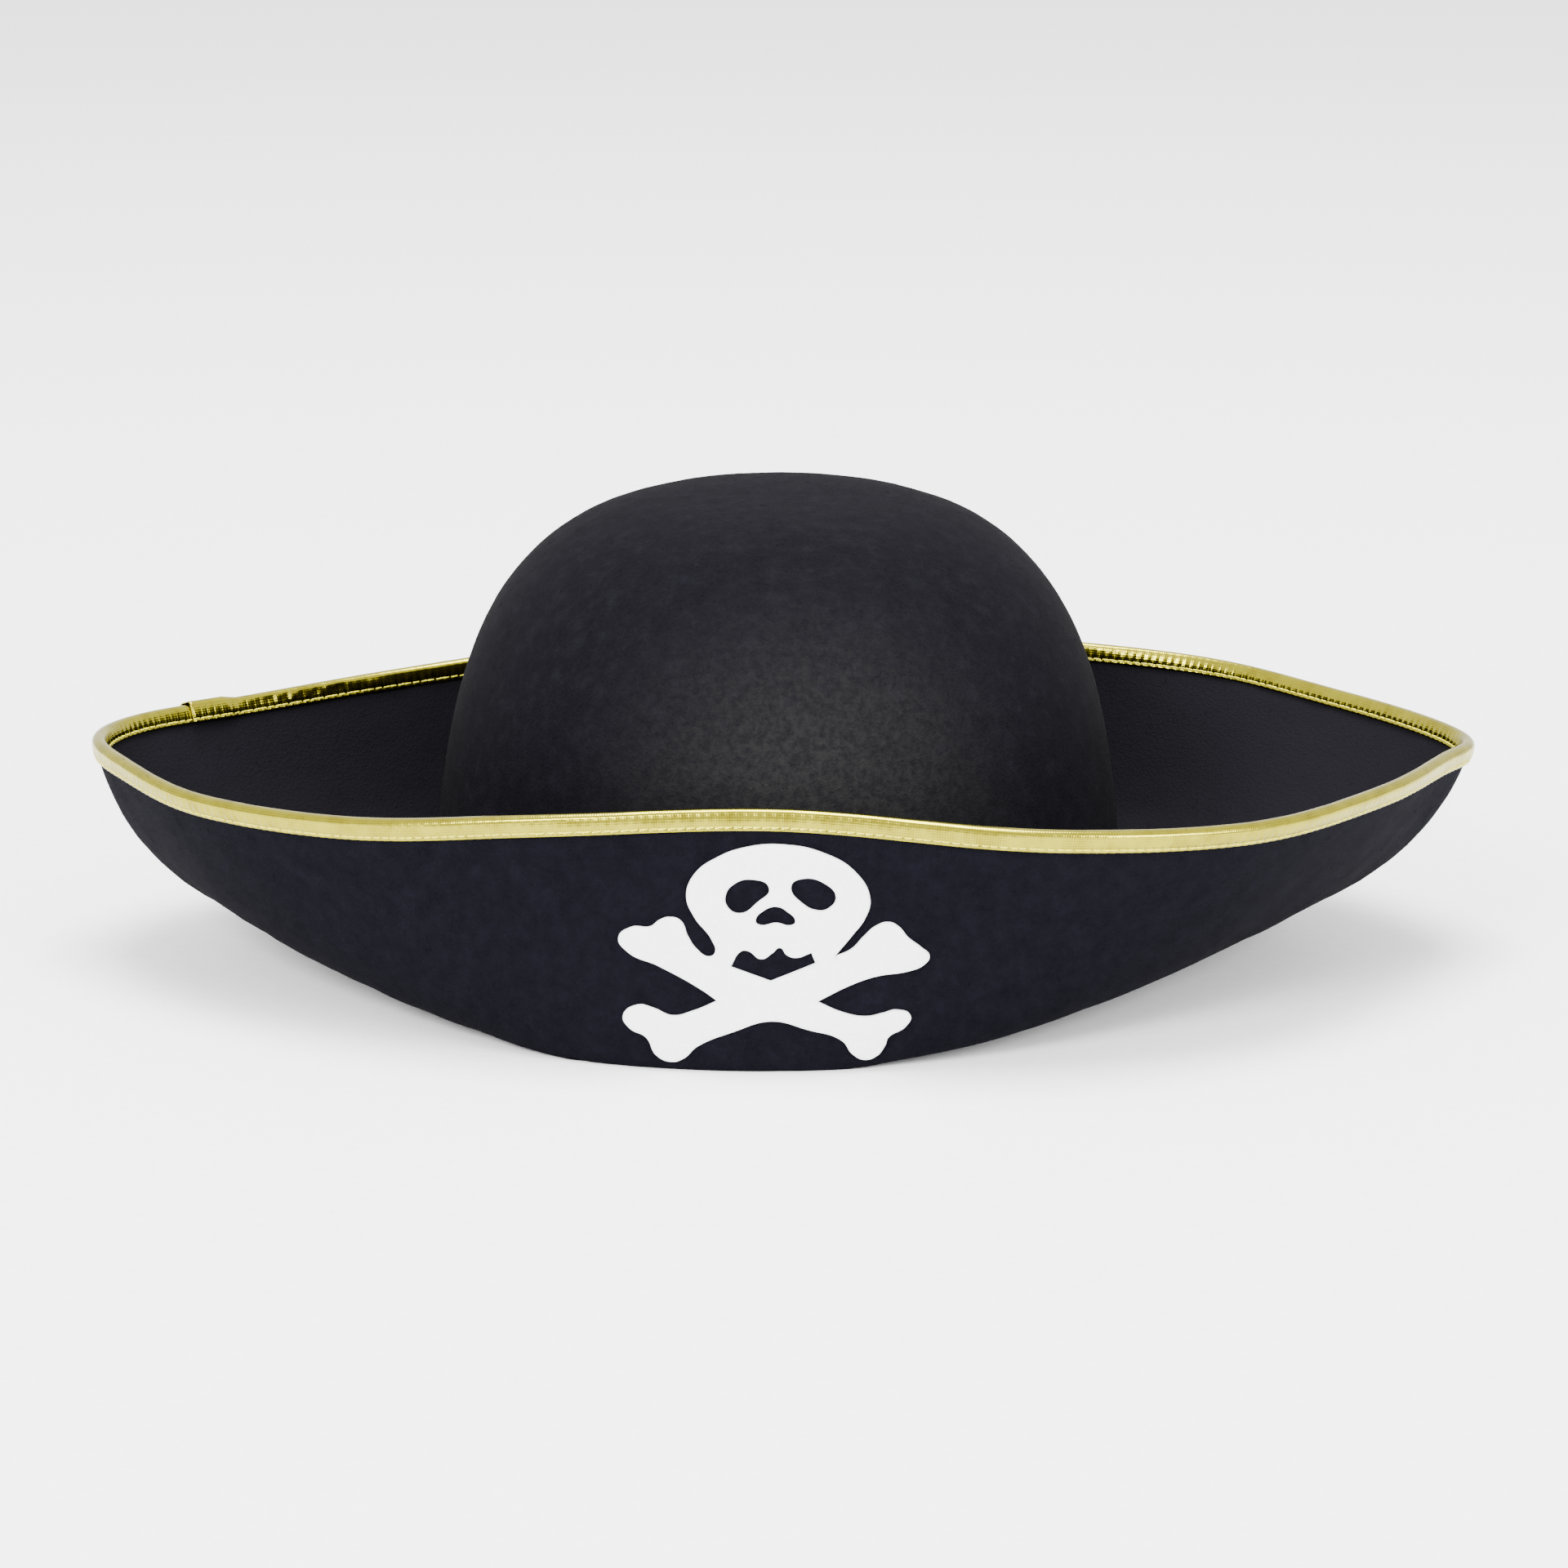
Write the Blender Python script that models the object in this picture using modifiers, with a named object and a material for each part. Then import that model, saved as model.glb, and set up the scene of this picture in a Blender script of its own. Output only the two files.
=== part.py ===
"""Pirate hat: a felt hat with a round crown and a wide brim turned up at the front and the back.

Frame, in metres: +Z is up, the hat's front faces -Y, and its two pointed sides lie along X. The
origin is under the middle of the hat, on the surface it stands on. Sizes below are in millimetres.
"""
import math

import bmesh
import bpy
from mathutils import Matrix, Vector
from mathutils.bvhtree import BVHTree

MM = 0.001
GAP = 0.3
FELT_THICKNESS = 2.0

# Crown: an oval dome, its half width along X given by crown_half_width, deeper from front to back.
CROWN_CENTRE_X = -1.5
CROWN_BASE_Z = 4.2
CROWN_TOP_Z = 121.2
CROWN_BASE_HALF_WIDTH = 90.3
CROWN_TAPER = 0.05
CROWN_DEPTH_RATIO = 1.12
DOME_START_Z = 17.0
DOME_SHOULDER = 2.85
DOME_ROUNDNESS = 3.4
CROWN_STEPS = 56

# Brim: three guide lines round the hat. The break is the oval where the brim leaves the crown; the
# fold is the corner that the turned-up brim leans into, more or less tightly; the rim is its edge.
BREAK_OUTSET = 2.2
BREAK_Z = 1.2
COLLAR_TOP_Z = 14.0
COLLAR_FOOT_Z = 4.5
STEPS_PER_STATION = 4
BOTTOM_SEGMENTS = 4
PANEL_SEGMENTS = 7
# One station a line: angle on the break (degrees), rim x, y, z, fold x, y, z, fold tightness.
BRIM_STATIONS = [
    (0, 179.5, 0, 56.5, 166, 0, 10.5, 1.2),
    (14, 172.5, 22, 56.5, 153.5, 15.5, 9.5, 1.3),
    (32, 150.5, 54, 56.5, 130.5, 39, 9, 1.6),
    (52, 116, 87, 58, 99.5, 69, 6, 2.2),
    (71, 62.5, 104.5, 60, 55.5, 98, 1, 4),
    (90, 0, 105, 62, 0, 109, -3, 7),
    (109, -59, 98, 59.5, -56.5, 99, -3, 4),
    (128, -107.5, 79.5, 56.5, -101, 71.5, -0.5, 2.2),
    (148, -146.5, 52, 55.5, -133, 41, 3, 1.6),
    (166, -172, 25, 57, -158, 17, 6.5, 1.3),
    (180, -179.5, 0, 58, -172, 0, 7.5, 1.2),
    (194, -170.5, -23.5, 57, -157.5, -16.5, 7, 1.3),
    (212, -147.5, -53.5, 55, -133, -41, 3.5, 1.6),
    (232, -106, -82, 57, -100.5, -71, -1, 2.2),
    (251, -58, -98.5, 62.5, -56.5, -100, -4, 4),
    (270, 0, -104.5, 65.5, 0, -109, -3, 7),
    (289, 62.5, -108.5, 61, 55, -97, 1.5, 4),
    (308, 115.5, -89, 57, 99, -68, 8, 2.2),
    (328, 151, -53, 56.5, 129.5, -37.5, 11.5, 1.6),
    (346, 171, -20, 57, 152.5, -14, 11.5, 1.3),
]

# Edge binding: a metallic bias tape folded over the rim, its end lapped over its start.
TAPE_THICKNESS = 0.5
TAPE_LEG = 6.2
TAPE_LAP = 12.0
TAPE_START_ANGLE = 150.0
TAPE_STITCH_DROP = 5.0

# Skull and crossbones: one flat piece with cut-outs, bent onto the front of the brim. The outline
# is in millimetres from the crossing of the bones; a third value of 1 marks a sharp corner.
EMBLEM_THICKNESS = 1.0
EMBLEM_GAP = 0.5
EMBLEM_X = -3.1
EMBLEM_Z = 20.6
EMBLEM_GRID = 7.0
EMBLEM_CURVE_STEPS = 2
EMBLEM_OUTLINE = [
    (3, 36), (12.5, 34.2), (20.3, 29.6), (23.9, 23), (22.8, 18.2), (19.6, 13.7), (15.9, 8.9, 1),
    (19.4, 10.4), (22.3, 13.5), (25.2, 16.1), (28.4, 17.1), (30.9, 15.9), (33.1, 13.2), (36.3, 10.6),
    (38.3, 8.3), (36.8, 6), (33, 4.5), (25.5, 3.4), (18.6, 0.9), (11.9, -2.8, 1), (17.5, -5.6),
    (23, -6.7), (27, -6), (30.4, -5.3), (33.8, -7), (32.6, -9.7), (28.4, -12.4), (27.7, -14.3),
    (25.5, -17), (22.3, -17.8), (19.6, -16.3), (17.2, -12.9), (8.8, -9.9), (0, -7.5), (-8.8, -10.4),
    (-18, -14.5), (-21.1, -17.5), (-24, -18.5), (-27.9, -17), (-30.4, -12.6), (-34.4, -10.5),
    (-36, -7.5), (-32.4, -4.5), (-28.4, -5.2), (-24, -6.8), (-19.1, -5.5), (-13.7, -2.6, 1),
    (-16.7, -0.3), (-27.5, 5.4), (-34.8, 8.5), (-37, 12), (-33.8, 14.8), (-29.2, 15.1),
    (-27, 16.8), (-24.5, 17.6), (-21.8, 16.7), (-20.1, 13), (-18.1, 10), (-15, 8.3), (-13.6, 9.4),
    (-14.4, 12.2), (-18.6, 17.7), (-20.5, 22.8), (-18.6, 28.2), (-12.7, 32.7), (-5.5, 35.3),
]
EMBLEM_CUT_OUTS = [
    [(-4.7, 27.2), (-0.8, 25), (-3.7, 22), (-7.5, 19.7), (-10.7, 22.8), (-8.8, 26)],
    [(5.2, 25.8), (7.6, 27.6), (13, 26.3), (15.2, 23.5), (11.8, 20.4), (8, 21.8)],
    [(1.5, 20.6), (3.7, 19.5), (5.4, 17.4), (4.6, 16.7), (1.2, 17.1), (-2.7, 16.7), (-3.4, 17.4),
     (-1.5, 19.7)],
    [(-9, 6.5, 1), (-6.8, 9.5), (-5.4, 9.6), (-2, 7.6), (0.5, 9.3), (2.2, 10.5), (3.7, 8.8), (5.9, 8.1),
     (9.3, 9.3, 1), (10.4, 7.1, 1), (0, 3, 1)],
]

# Sweatband: a ribbon round the inside of the head opening, its ends lapped at the back.
BAND_THICKNESS = 0.8
BAND_BOTTOM_Z = 3.0
BAND_TOP_Z = 30.0
BAND_LAP_DEGREES = 9.0
BAND_STEPS = 56

# Threads: seams are drawn as one continuous thread each.
THREAD_RADIUS = 0.25
BAND_STITCH_Z = 7.0
CROWN_STITCH_Z = 9.0
TACK_RADIUS = 0.5
TACK_Z = 44.0
TACK_HALF_WIDTH = 4.0

# Care label: a folded satin strip sewn to the sweatband along its top edge, behind the head.
LABEL_WIDTH = 20.0
LABEL_THICKNESS = 0.8
LABEL_TOP_Z = 27.0
LABEL_LENGTH = 21.0
LABEL_ROUND = 0.3
LABEL_STITCH_LENGTH = 16.0
LABEL_STITCH_DROP = 1.6


def make_collection(name):
    """A new collection in the scene."""
    collection = bpy.data.collections.new(name)
    bpy.context.scene.collection.children.link(collection)
    return collection


def make_material(name, colour, roughness, metallic=0.0):
    """A Principled material with one colour."""
    material = bpy.data.materials.new(name)
    material.use_nodes = True
    shader = material.node_tree.nodes["Principled BSDF"]
    shader.inputs["Base Color"].default_value = (*colour, 1.0)
    shader.inputs["Roughness"].default_value = roughness
    shader.inputs["Metallic"].default_value = metallic
    return material


def add_mesh(name, verts, faces, collection, edges=()):
    """An object from points in millimetres."""
    mesh = bpy.data.meshes.new(name)
    mesh.from_pydata([Vector(v) * MM for v in verts], edges, faces)
    obj = bpy.data.objects.new(name, mesh)
    collection.objects.link(obj)
    return obj


def shade_round(obj, degrees=40):
    """Smooth shading with sharp edges kept."""
    obj.data.shade_smooth()
    obj.data.set_sharp_from_angle(angle=math.radians(degrees))


def evaluated_mesh(obj):
    """The object's mesh with its modifiers applied."""
    depsgraph = bpy.context.evaluated_depsgraph_get()
    return bpy.data.meshes.new_from_object(obj.evaluated_get(depsgraph))


def add_solidify(obj, thickness, offset):
    """Gives an open surface its thickness."""
    solidify = obj.modifiers.new("thickness", "SOLIDIFY")
    solidify.thickness = thickness * MM
    solidify.offset = offset
    solidify.use_even_offset = True
    return solidify


def add_thread(name, points, radius, closed, collection):
    """A round thread along points in millimetres, as a bevelled curve turned to a mesh."""
    curve = bpy.data.curves.new(name, "CURVE")
    curve.dimensions = "3D"
    curve.bevel_depth = radius * MM
    curve.bevel_resolution = 0
    curve.use_fill_caps = not closed
    spline = curve.splines.new("POLY")
    spline.points.add(len(points) - 1)
    for point, place in zip(spline.points, points):
        point.co = (*(Vector(place) * MM), 1.0)
    spline.use_cyclic_u = closed
    curve_object = bpy.data.objects.new(name + "_curve", curve)
    collection.objects.link(curve_object)
    mesh = evaluated_mesh(curve_object)
    bpy.data.objects.remove(curve_object)
    weld = bmesh.new()
    weld.from_mesh(mesh)
    bmesh.ops.remove_doubles(weld, verts=weld.verts, dist=0.00001)
    bmesh.ops.recalc_face_normals(weld, faces=weld.faces)
    weld.to_mesh(mesh)
    weld.free()
    thread = bpy.data.objects.new(name, mesh)
    collection.objects.link(thread)
    shade_round(thread, 60)
    return thread


def crown_half_width(z):
    """Half of the crown's outer width along X at a height."""
    straight = CROWN_BASE_HALF_WIDTH - CROWN_TAPER * (z - CROWN_BASE_Z)
    rise = max(0.0, (z - DOME_START_Z) / (CROWN_TOP_Z - DOME_START_Z))
    return straight * max(0.0, 1.0 - rise ** DOME_SHOULDER) ** (1.0 / DOME_ROUNDNESS)


def head_point(angle, z, inset):
    """A point on the oval round the head, a distance in from the crown's outer face."""
    half_width = crown_half_width(z)
    half_depth = half_width * CROWN_DEPTH_RATIO
    x = CROWN_CENTRE_X + (half_width - inset) * math.cos(angle)
    return Vector((x, (half_depth - inset) * math.sin(angle), z))


def add_crown(collection):
    """The crown: a profile turned about Z, stretched front to back and given the felt's thickness."""
    heights = [CROWN_BASE_Z, 18, 34, 50, 64, 77, 88, 97, 105, 111, 115.5, 118.8, 120.7]
    profile = [(0.0, 0.0, CROWN_TOP_Z)] + [(crown_half_width(z), 0.0, z) for z in reversed(heights)]
    edges = [(i, i + 1) for i in range(len(profile) - 1)]
    turned = add_mesh("crown_profile", profile, (), collection, edges)
    screw = turned.modifiers.new("turn", "SCREW")
    screw.steps = CROWN_STEPS
    screw.render_steps = CROWN_STEPS
    screw.use_merge_vertices = True
    screw.merge_threshold = 0.0001
    mesh = evaluated_mesh(turned)
    bpy.data.objects.remove(turned)
    mesh.transform(Matrix.Diagonal((1.0, CROWN_DEPTH_RATIO, 1.0, 1.0)))
    crown = bpy.data.objects.new("crown", mesh)
    collection.objects.link(crown)
    crown.location.x = CROWN_CENTRE_X * MM
    add_solidify(crown, FELT_THICKNESS, -1.0)
    shade_round(crown)
    return crown


def round_the_hat(values, steps):
    """Values between the stations of a closed row, on a smooth curve through them (Catmull-Rom)."""
    count = len(values)
    smooth = []
    for i in range(count):
        before, start, end, after = (values[(i + k) % count] for k in (-1, 0, 1, 2))
        for step in range(steps):
            t = step / steps
            smooth.append(0.5 * (2 * start + (end - before) * t
                                 + (2 * before - 5 * start + 4 * end - after) * t ** 2
                                 + (3 * start - before - 3 * end + after) * t ** 3))
    return smooth


def brim_guides(steps):
    """Break angle, fold point, rim point and fold tightness at every step round the hat."""
    rims = round_the_hat([Vector(s[1:4]) for s in BRIM_STATIONS], steps)
    folds = round_the_hat([Vector(s[4:7]) for s in BRIM_STATIONS], steps)
    tightness = round_the_hat([float(s[7]) for s in BRIM_STATIONS], steps)
    angles = []
    for i, station in enumerate(BRIM_STATIONS):
        following = BRIM_STATIONS[i + 1][0] if i + 1 < len(BRIM_STATIONS) else 360
        angles += [math.radians(station[0] + (following - station[0]) * k / steps) for k in range(steps)]
    return list(zip(angles, folds, rims, tightness))


def leg_fractions(tightness, segments):
    """Places along one leg of a fold, from its far end to the fold's middle."""
    furthest = 2 * tightness / (1 + 2 * tightness)
    places = []
    for k in range(segments + 1):
        fraction = furthest * (1 - (1 - k / segments) ** 1.5)
        ratio = fraction / (2 * tightness * (1 - fraction))
        places.append(ratio / (1 + ratio))
    return places


def brim_section(angle, fold, rim, tightness):
    """The brim's lower face from the break to the rim: a conic that leans into the fold's corner."""
    start = head_point(angle, CROWN_BASE_Z, 2 * FELT_THICKNESS + GAP - BREAK_OUTSET)
    start.z = BREAK_Z
    rim = rim + (fold - rim).normalized() * (TAPE_THICKNESS + GAP)
    places = leg_fractions(tightness, BOTTOM_SEGMENTS)
    places += [1 - t for t in reversed(leg_fractions(tightness, PANEL_SEGMENTS)[:-1])]
    points = []
    for t in places:
        a, b, c = (1 - t) ** 2, 2 * t * (1 - t) * tightness, t ** 2
        points.append((a * start + b * fold + c * rim) / (a + b + c))
    return points


def grid_faces(rows, columns):
    """Quads of a grid that closes on itself along its rows."""
    faces = []
    for r in range(rows - 1):
        for c in range(columns):
            d = (c + 1) % columns
            faces.append((r * columns + c, r * columns + d, (r + 1) * columns + d, (r + 1) * columns + c))
    return faces


def brim_rings():
    """Rings of points on the brim's lower face, from the top of the collar out to the rim."""
    guides = brim_guides(STEPS_PER_STATION)
    collar_inset = 2 * FELT_THICKNESS + GAP
    rings = [
        [head_point(g[0], COLLAR_TOP_Z, collar_inset) for g in guides],
        [head_point(g[0], COLLAR_FOOT_Z, collar_inset) for g in guides],
    ]
    corner = [head_point(g[0], COLLAR_FOOT_Z, collar_inset - 0.6) for g in guides]
    for point in corner:
        point.z = COLLAR_FOOT_Z - 2.2
    rings.append(corner)
    sections = [brim_section(*g) for g in guides]
    rings += [list(ring) for ring in zip(*sections)]
    return rings


def add_brim(collection, cutters):
    """The brim with its collar, lofted, thickened, and pressed flat where the hat stands on it."""
    rings = brim_rings()
    verts = [point for ring in rings for point in ring]
    brim = add_mesh("brim", verts, grid_faces(len(rings), len(rings[0])), collection)
    add_solidify(brim, FELT_THICKNESS, -1.0)
    bpy.ops.mesh.primitive_cube_add(size=1.0, location=(0.0, 0.0, -0.01))
    table = bpy.context.object
    table.name = "table_cutter"
    table.scale = (0.5, 0.3, 0.02)
    table.display_type = "WIRE"
    table.hide_render = True
    for home in table.users_collection:
        home.objects.unlink(table)
    cutters.objects.link(table)
    flatten = brim.modifiers.new("standing flat", "BOOLEAN")
    flatten.object = table
    flatten.operation = "DIFFERENCE"
    shade_round(brim)
    return brim


def rim_frames():
    """Tape edge point, direction down the panel and outward direction at every step round the rim."""
    ends = [brim_section(*guide)[-2:] for guide in brim_guides(STEPS_PER_STATION)]
    frames = []
    for i, (lower, edge) in enumerate(ends):
        along = ends[(i + 1) % len(ends)][1] - ends[i - 1][1]
        down = (lower - edge).normalized()
        outward = down.cross(along).normalized()
        down = along.cross(outward).normalized()
        frames.append((edge - down * (TAPE_THICKNESS + GAP), down, outward))
    return frames


def tape_frames():
    """Rim frames from the tape's start right round, each with the rise of the top layer at the lap."""
    frames = rim_frames()
    start = int(len(frames) * TAPE_START_ANGLE / 360)
    frames = frames[start:] + frames[:start]
    run = [0.0]
    for (a, _, _), (b, _, _) in zip(frames, frames[1:]):
        run.append(run[-1] + (b - a).length)
    total = run[-1] + (frames[0][0] - frames[-1][0]).length
    raised = []
    for frame, distance in zip(frames, run):
        from_lap = min(max(0.0, distance - TAPE_LAP), total - distance)
        rise = min(1.0, max(0.0, 1.5 - from_lap / TAPE_LAP)) * (TAPE_THICKNESS + GAP)
        raised.append((*frame, rise))
    lapped = sum(distance <= TAPE_LAP for distance in run)
    return raised, lapped


def add_edge_binding(collection):
    """The metallic tape: a U section carried along the rim, with closed ends."""
    inner_side = FELT_THICKNESS + GAP
    verts = []
    raised, lapped = tape_frames()
    flush = [(*frame[:3], 0.0 if i < len(raised) / 2 else frame[3]) for i, frame in enumerate(raised)]
    frames = flush + raised[:lapped]
    for rim, down, outward, lift in frames:
        near, far = GAP + lift, GAP + lift + TAPE_THICKNESS
        foot = TAPE_LEG
        section = [
            (far, foot), (far, -lift + 0.8), (far - 0.8, -lift), (-inner_side - lift, -lift),
            (-inner_side - lift - TAPE_THICKNESS, 0.8 - lift), (-inner_side - lift - TAPE_THICKNESS, foot),
            (-inner_side - lift, foot), (-inner_side - lift, TAPE_THICKNESS - lift),
            (near, TAPE_THICKNESS - lift), (near, foot),
        ]
        verts += [rim + outward * a + down * b for a, b in section]
    corners = 10
    rings = len(frames)
    faces = []
    for r in range(rings - 1):
        for c in range(corners):
            d = (c + 1) % corners
            faces.append((r * corners + c, r * corners + d, (r + 1) * corners + d, (r + 1) * corners + c))
    last = (rings - 1) * corners
    faces.append(tuple(reversed(range(corners))))
    faces.append(tuple(range(last, last + corners)))
    binding = add_mesh("edge_binding", verts, faces, collection)
    tidy = bmesh.new()
    tidy.from_mesh(binding.data)
    bmesh.ops.recalc_face_normals(tidy, faces=tidy.faces)
    tidy.to_mesh(binding.data)
    tidy.free()
    shade_round(binding)
    return binding


def add_binding_stitch(name, side, collection):
    """The thread along the tape's lower edge, on the outside (side 1) or the inside (side -1)."""
    reach = GAP + TAPE_THICKNESS + GAP + THREAD_RADIUS
    base = 0.0 if side > 0 else -FELT_THICKNESS
    points = [rim + outward * (base + side * (reach + rise)) + down * TAPE_STITCH_DROP
              for rim, down, outward, rise in tape_frames()[0]]
    return add_thread(name, points, THREAD_RADIUS, True, collection)


def add_emblem(brim, collection):
    """The skull and crossbones: a flat 2D outline, divided, laid on the brim's face and thickened."""
    curve = bpy.data.curves.new("emblem_outline", "CURVE")
    curve.dimensions = "2D"
    curve.fill_mode = "BOTH"
    curve.resolution_u = EMBLEM_CURVE_STEPS
    for outline in [EMBLEM_OUTLINE] + EMBLEM_CUT_OUTS:
        spline = curve.splines.new("BEZIER")
        spline.bezier_points.add(len(outline) - 1)
        spline.use_cyclic_u = True
        for point, place in zip(spline.bezier_points, outline):
            point.co = (place[0] * MM, place[1] * MM, 0.0)
            handle = "VECTOR" if len(place) > 2 else "AUTO"
            point.handle_left_type = handle
            point.handle_right_type = handle
    outline_object = bpy.data.objects.new("emblem_outline", curve)
    collection.objects.link(outline_object)
    mesh = evaluated_mesh(outline_object)
    bpy.data.objects.remove(outline_object)

    flat = bmesh.new()
    flat.from_mesh(mesh)
    bmesh.ops.remove_doubles(flat, verts=flat.verts, dist=0.00001)
    for axis in (Vector((1.0, 0.0, 0.0)), Vector((0.0, 1.0, 0.0))):
        for k in range(-6, 7):
            bmesh.ops.bisect_plane(
                flat, geom=flat.verts[:] + flat.edges[:] + flat.faces[:], dist=0.00001,
                plane_co=axis * (k * EMBLEM_GRID * MM), plane_no=axis)
    target = evaluated_mesh(brim)
    surface = BVHTree.FromPolygons([v.co for v in target.vertices], [p.vertices for p in target.polygons])
    for vert in flat.verts:
        seen_from = Vector((vert.co.x + EMBLEM_X * MM, -0.2, vert.co.y + EMBLEM_Z * MM))
        place, normal = surface.ray_cast(seen_from, Vector((0.0, 1.0, 0.0)))[:2]
        vert.co = place + normal * (EMBLEM_GAP * MM)
    bmesh.ops.recalc_face_normals(flat, faces=flat.faces)
    if sum(face.normal.y for face in flat.faces) > 0:
        bmesh.ops.reverse_faces(flat, faces=flat.faces)
    flat.to_mesh(mesh)
    flat.free()
    bpy.data.meshes.remove(target)
    emblem = bpy.data.objects.new("skull_applique", mesh)
    collection.objects.link(emblem)
    add_solidify(emblem, EMBLEM_THICKNESS, 1.0)
    return emblem


def add_sweatband(collection):
    """The sweatband: a ribbon that runs once round the opening and laps over itself at the back."""
    lap = math.radians(BAND_LAP_DEGREES)
    start = math.pi / 2 - lap / 2
    turn = 2 * math.pi + lap
    outer = 2 * FELT_THICKNESS + 2 * GAP
    verts = []
    heights = (BAND_BOTTOM_Z, COLLAR_TOP_Z, BAND_TOP_Z)
    for step in range(BAND_STEPS + 1):
        angle = start + turn * step / BAND_STEPS
        past = (angle - start - 2 * math.pi + lap) / lap
        lift = max(0.0, min(1.0, past)) * (BAND_THICKNESS + GAP)
        verts += [head_point(angle, z, outer + lift) for z in heights]
    rows = len(heights)
    faces = []
    for step in range(BAND_STEPS):
        for r in range(rows - 1):
            a = step * rows + r
            faces.append((a, a + rows, a + rows + 1, a + 1))
    band = add_mesh("sweatband", verts, faces, collection)
    add_solidify(band, BAND_THICKNESS, -1.0)
    shade_round(band)
    return band


def add_oval_stitch(name, z, inset, collection):
    """A seam's thread all the way round the head oval."""
    points = [head_point(2 * math.pi * k / CROWN_STEPS, z, inset) for k in range(CROWN_STEPS)]
    return add_thread(name, points, THREAD_RADIUS, True, collection)


def add_tack(name, side, brim_surface, collection):
    """A thread tack between crown and turned-up brim, at the front (side -1) or the back (side 1)."""
    crown_face = head_point(side * math.pi / 2, TACK_Z, -GAP - TACK_RADIUS)
    outside = Vector((crown_face.x, side * 200.0, TACK_Z)) * MM
    inner_face = brim_surface.ray_cast(crown_face * MM, (outside - crown_face * MM).normalized())[0] / MM
    brim_face = Vector((crown_face.x, inner_face.y - side * (GAP + TACK_RADIUS), TACK_Z))
    half = Vector((TACK_HALF_WIDTH, 0.0, 0.0))
    points = [crown_face - half, brim_face - half, brim_face + half, crown_face + half]
    return add_thread(name, points, TACK_RADIUS, False, collection)


def add_care_label(collection):
    """The care label: a folded strip with rounded edges that hinges on its sewn top edge."""
    face_y = head_point(math.pi / 2, LABEL_TOP_Z, 2 * FELT_THICKNESS + 2 * GAP).y
    back_y = face_y - 2 * BAND_THICKNESS - 3 * GAP
    half_length = LABEL_LENGTH / 2
    centre = Vector((CROWN_CENTRE_X, back_y - LABEL_THICKNESS / 2, LABEL_TOP_Z - half_length))
    hinge_drop = LABEL_THICKNESS / 2
    label = bmesh.new()
    bmesh.ops.create_cube(label, size=1.0)
    bmesh.ops.scale(label, vec=Vector((LABEL_WIDTH, LABEL_THICKNESS, LABEL_LENGTH)) * MM, verts=label.verts)
    shift = Vector((0.0, 0.0, hinge_drop - half_length)) * MM
    bmesh.ops.translate(label, vec=shift, verts=label.verts)
    mesh = bpy.data.meshes.new("care_label")
    label.to_mesh(mesh)
    label.free()
    obj = bpy.data.objects.new("care_label", mesh)
    collection.objects.link(obj)
    obj.location = (centre + Vector((0.0, 0.0, half_length - hinge_drop))) * MM
    bevel = obj.modifiers.new("soft edges", "BEVEL")
    bevel.width = LABEL_ROUND * MM
    bevel.segments = 1
    return obj


def add_label_stitch(label, collection):
    """The row of thread that holds the label, just below its top edge."""
    y = label.location.y / MM - LABEL_THICKNESS / 2 - GAP - THREAD_RADIUS
    z = LABEL_TOP_Z - LABEL_STITCH_DROP
    half = LABEL_STITCH_LENGTH / 2
    points = [(CROWN_CENTRE_X - half, y, z), (CROWN_CENTRE_X + half, y, z)]
    return add_thread("label_stitch", points, THREAD_RADIUS, False, collection)


def build():
    """The whole hat."""
    for obj in list(bpy.data.objects):
        bpy.data.objects.remove(obj)
    hat = make_collection("pirate_hat")
    cutters = make_collection("cutters")
    black_felt = make_material("black_felt", (0.014, 0.013, 0.021), 0.95)
    gold_lame = make_material("gold_lame", (0.72, 0.62, 0.26), 0.35, 0.8)
    gold_thread = make_material("gold_thread", (0.80, 0.72, 0.20), 0.5)
    white_felt = make_material("white_felt", (0.88, 0.88, 0.88), 0.9)
    black_ribbon = make_material("black_ribbon", (0.012, 0.012, 0.014), 0.6)
    black_thread = make_material("black_thread", (0.01, 0.01, 0.012), 0.7)
    white_satin = make_material("white_satin", (0.82, 0.82, 0.80), 0.45)

    crown = add_crown(hat)
    brim = add_brim(hat, cutters)
    shell = evaluated_mesh(brim)
    brim_surface = BVHTree.FromPolygons([v.co for v in shell.vertices], [p.vertices for p in shell.polygons])
    bpy.data.meshes.remove(shell)
    binding = add_edge_binding(hat)
    outer_stitch = add_binding_stitch("binding_stitch_outer", 1, hat)
    inner_stitch = add_binding_stitch("binding_stitch_inner", -1, hat)
    emblem = add_emblem(brim, hat)
    band = add_sweatband(hat)
    band_inset = 2 * FELT_THICKNESS + 5 * GAP + 2 * BAND_THICKNESS + THREAD_RADIUS
    band_stitch = add_oval_stitch("sweatband_stitch", BAND_STITCH_Z, band_inset, hat)
    seam_stitch = add_oval_stitch("head_seam_stitch", CROWN_STITCH_Z, -GAP - THREAD_RADIUS, hat)
    front_tack = add_tack("front_tack_thread", -1, brim_surface, hat)
    back_tack = add_tack("back_tack_thread", 1, brim_surface, hat)
    label = add_care_label(hat)
    label_stitch = add_label_stitch(label, hat)

    finishes = (
        (black_felt, (crown, brim)),
        (gold_lame, (binding,)),
        (gold_thread, (outer_stitch, inner_stitch)),
        (white_felt, (emblem,)),
        (black_ribbon, (band,)),
        (black_thread, (band_stitch, seam_stitch, front_tack, back_tack)),
        (white_satin, (label, label_stitch)),
    )
    for material, objects in finishes:
        for obj in objects:
            obj.data.materials.clear()
            obj.data.materials.append(material)


build()
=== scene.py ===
import math
import random

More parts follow.
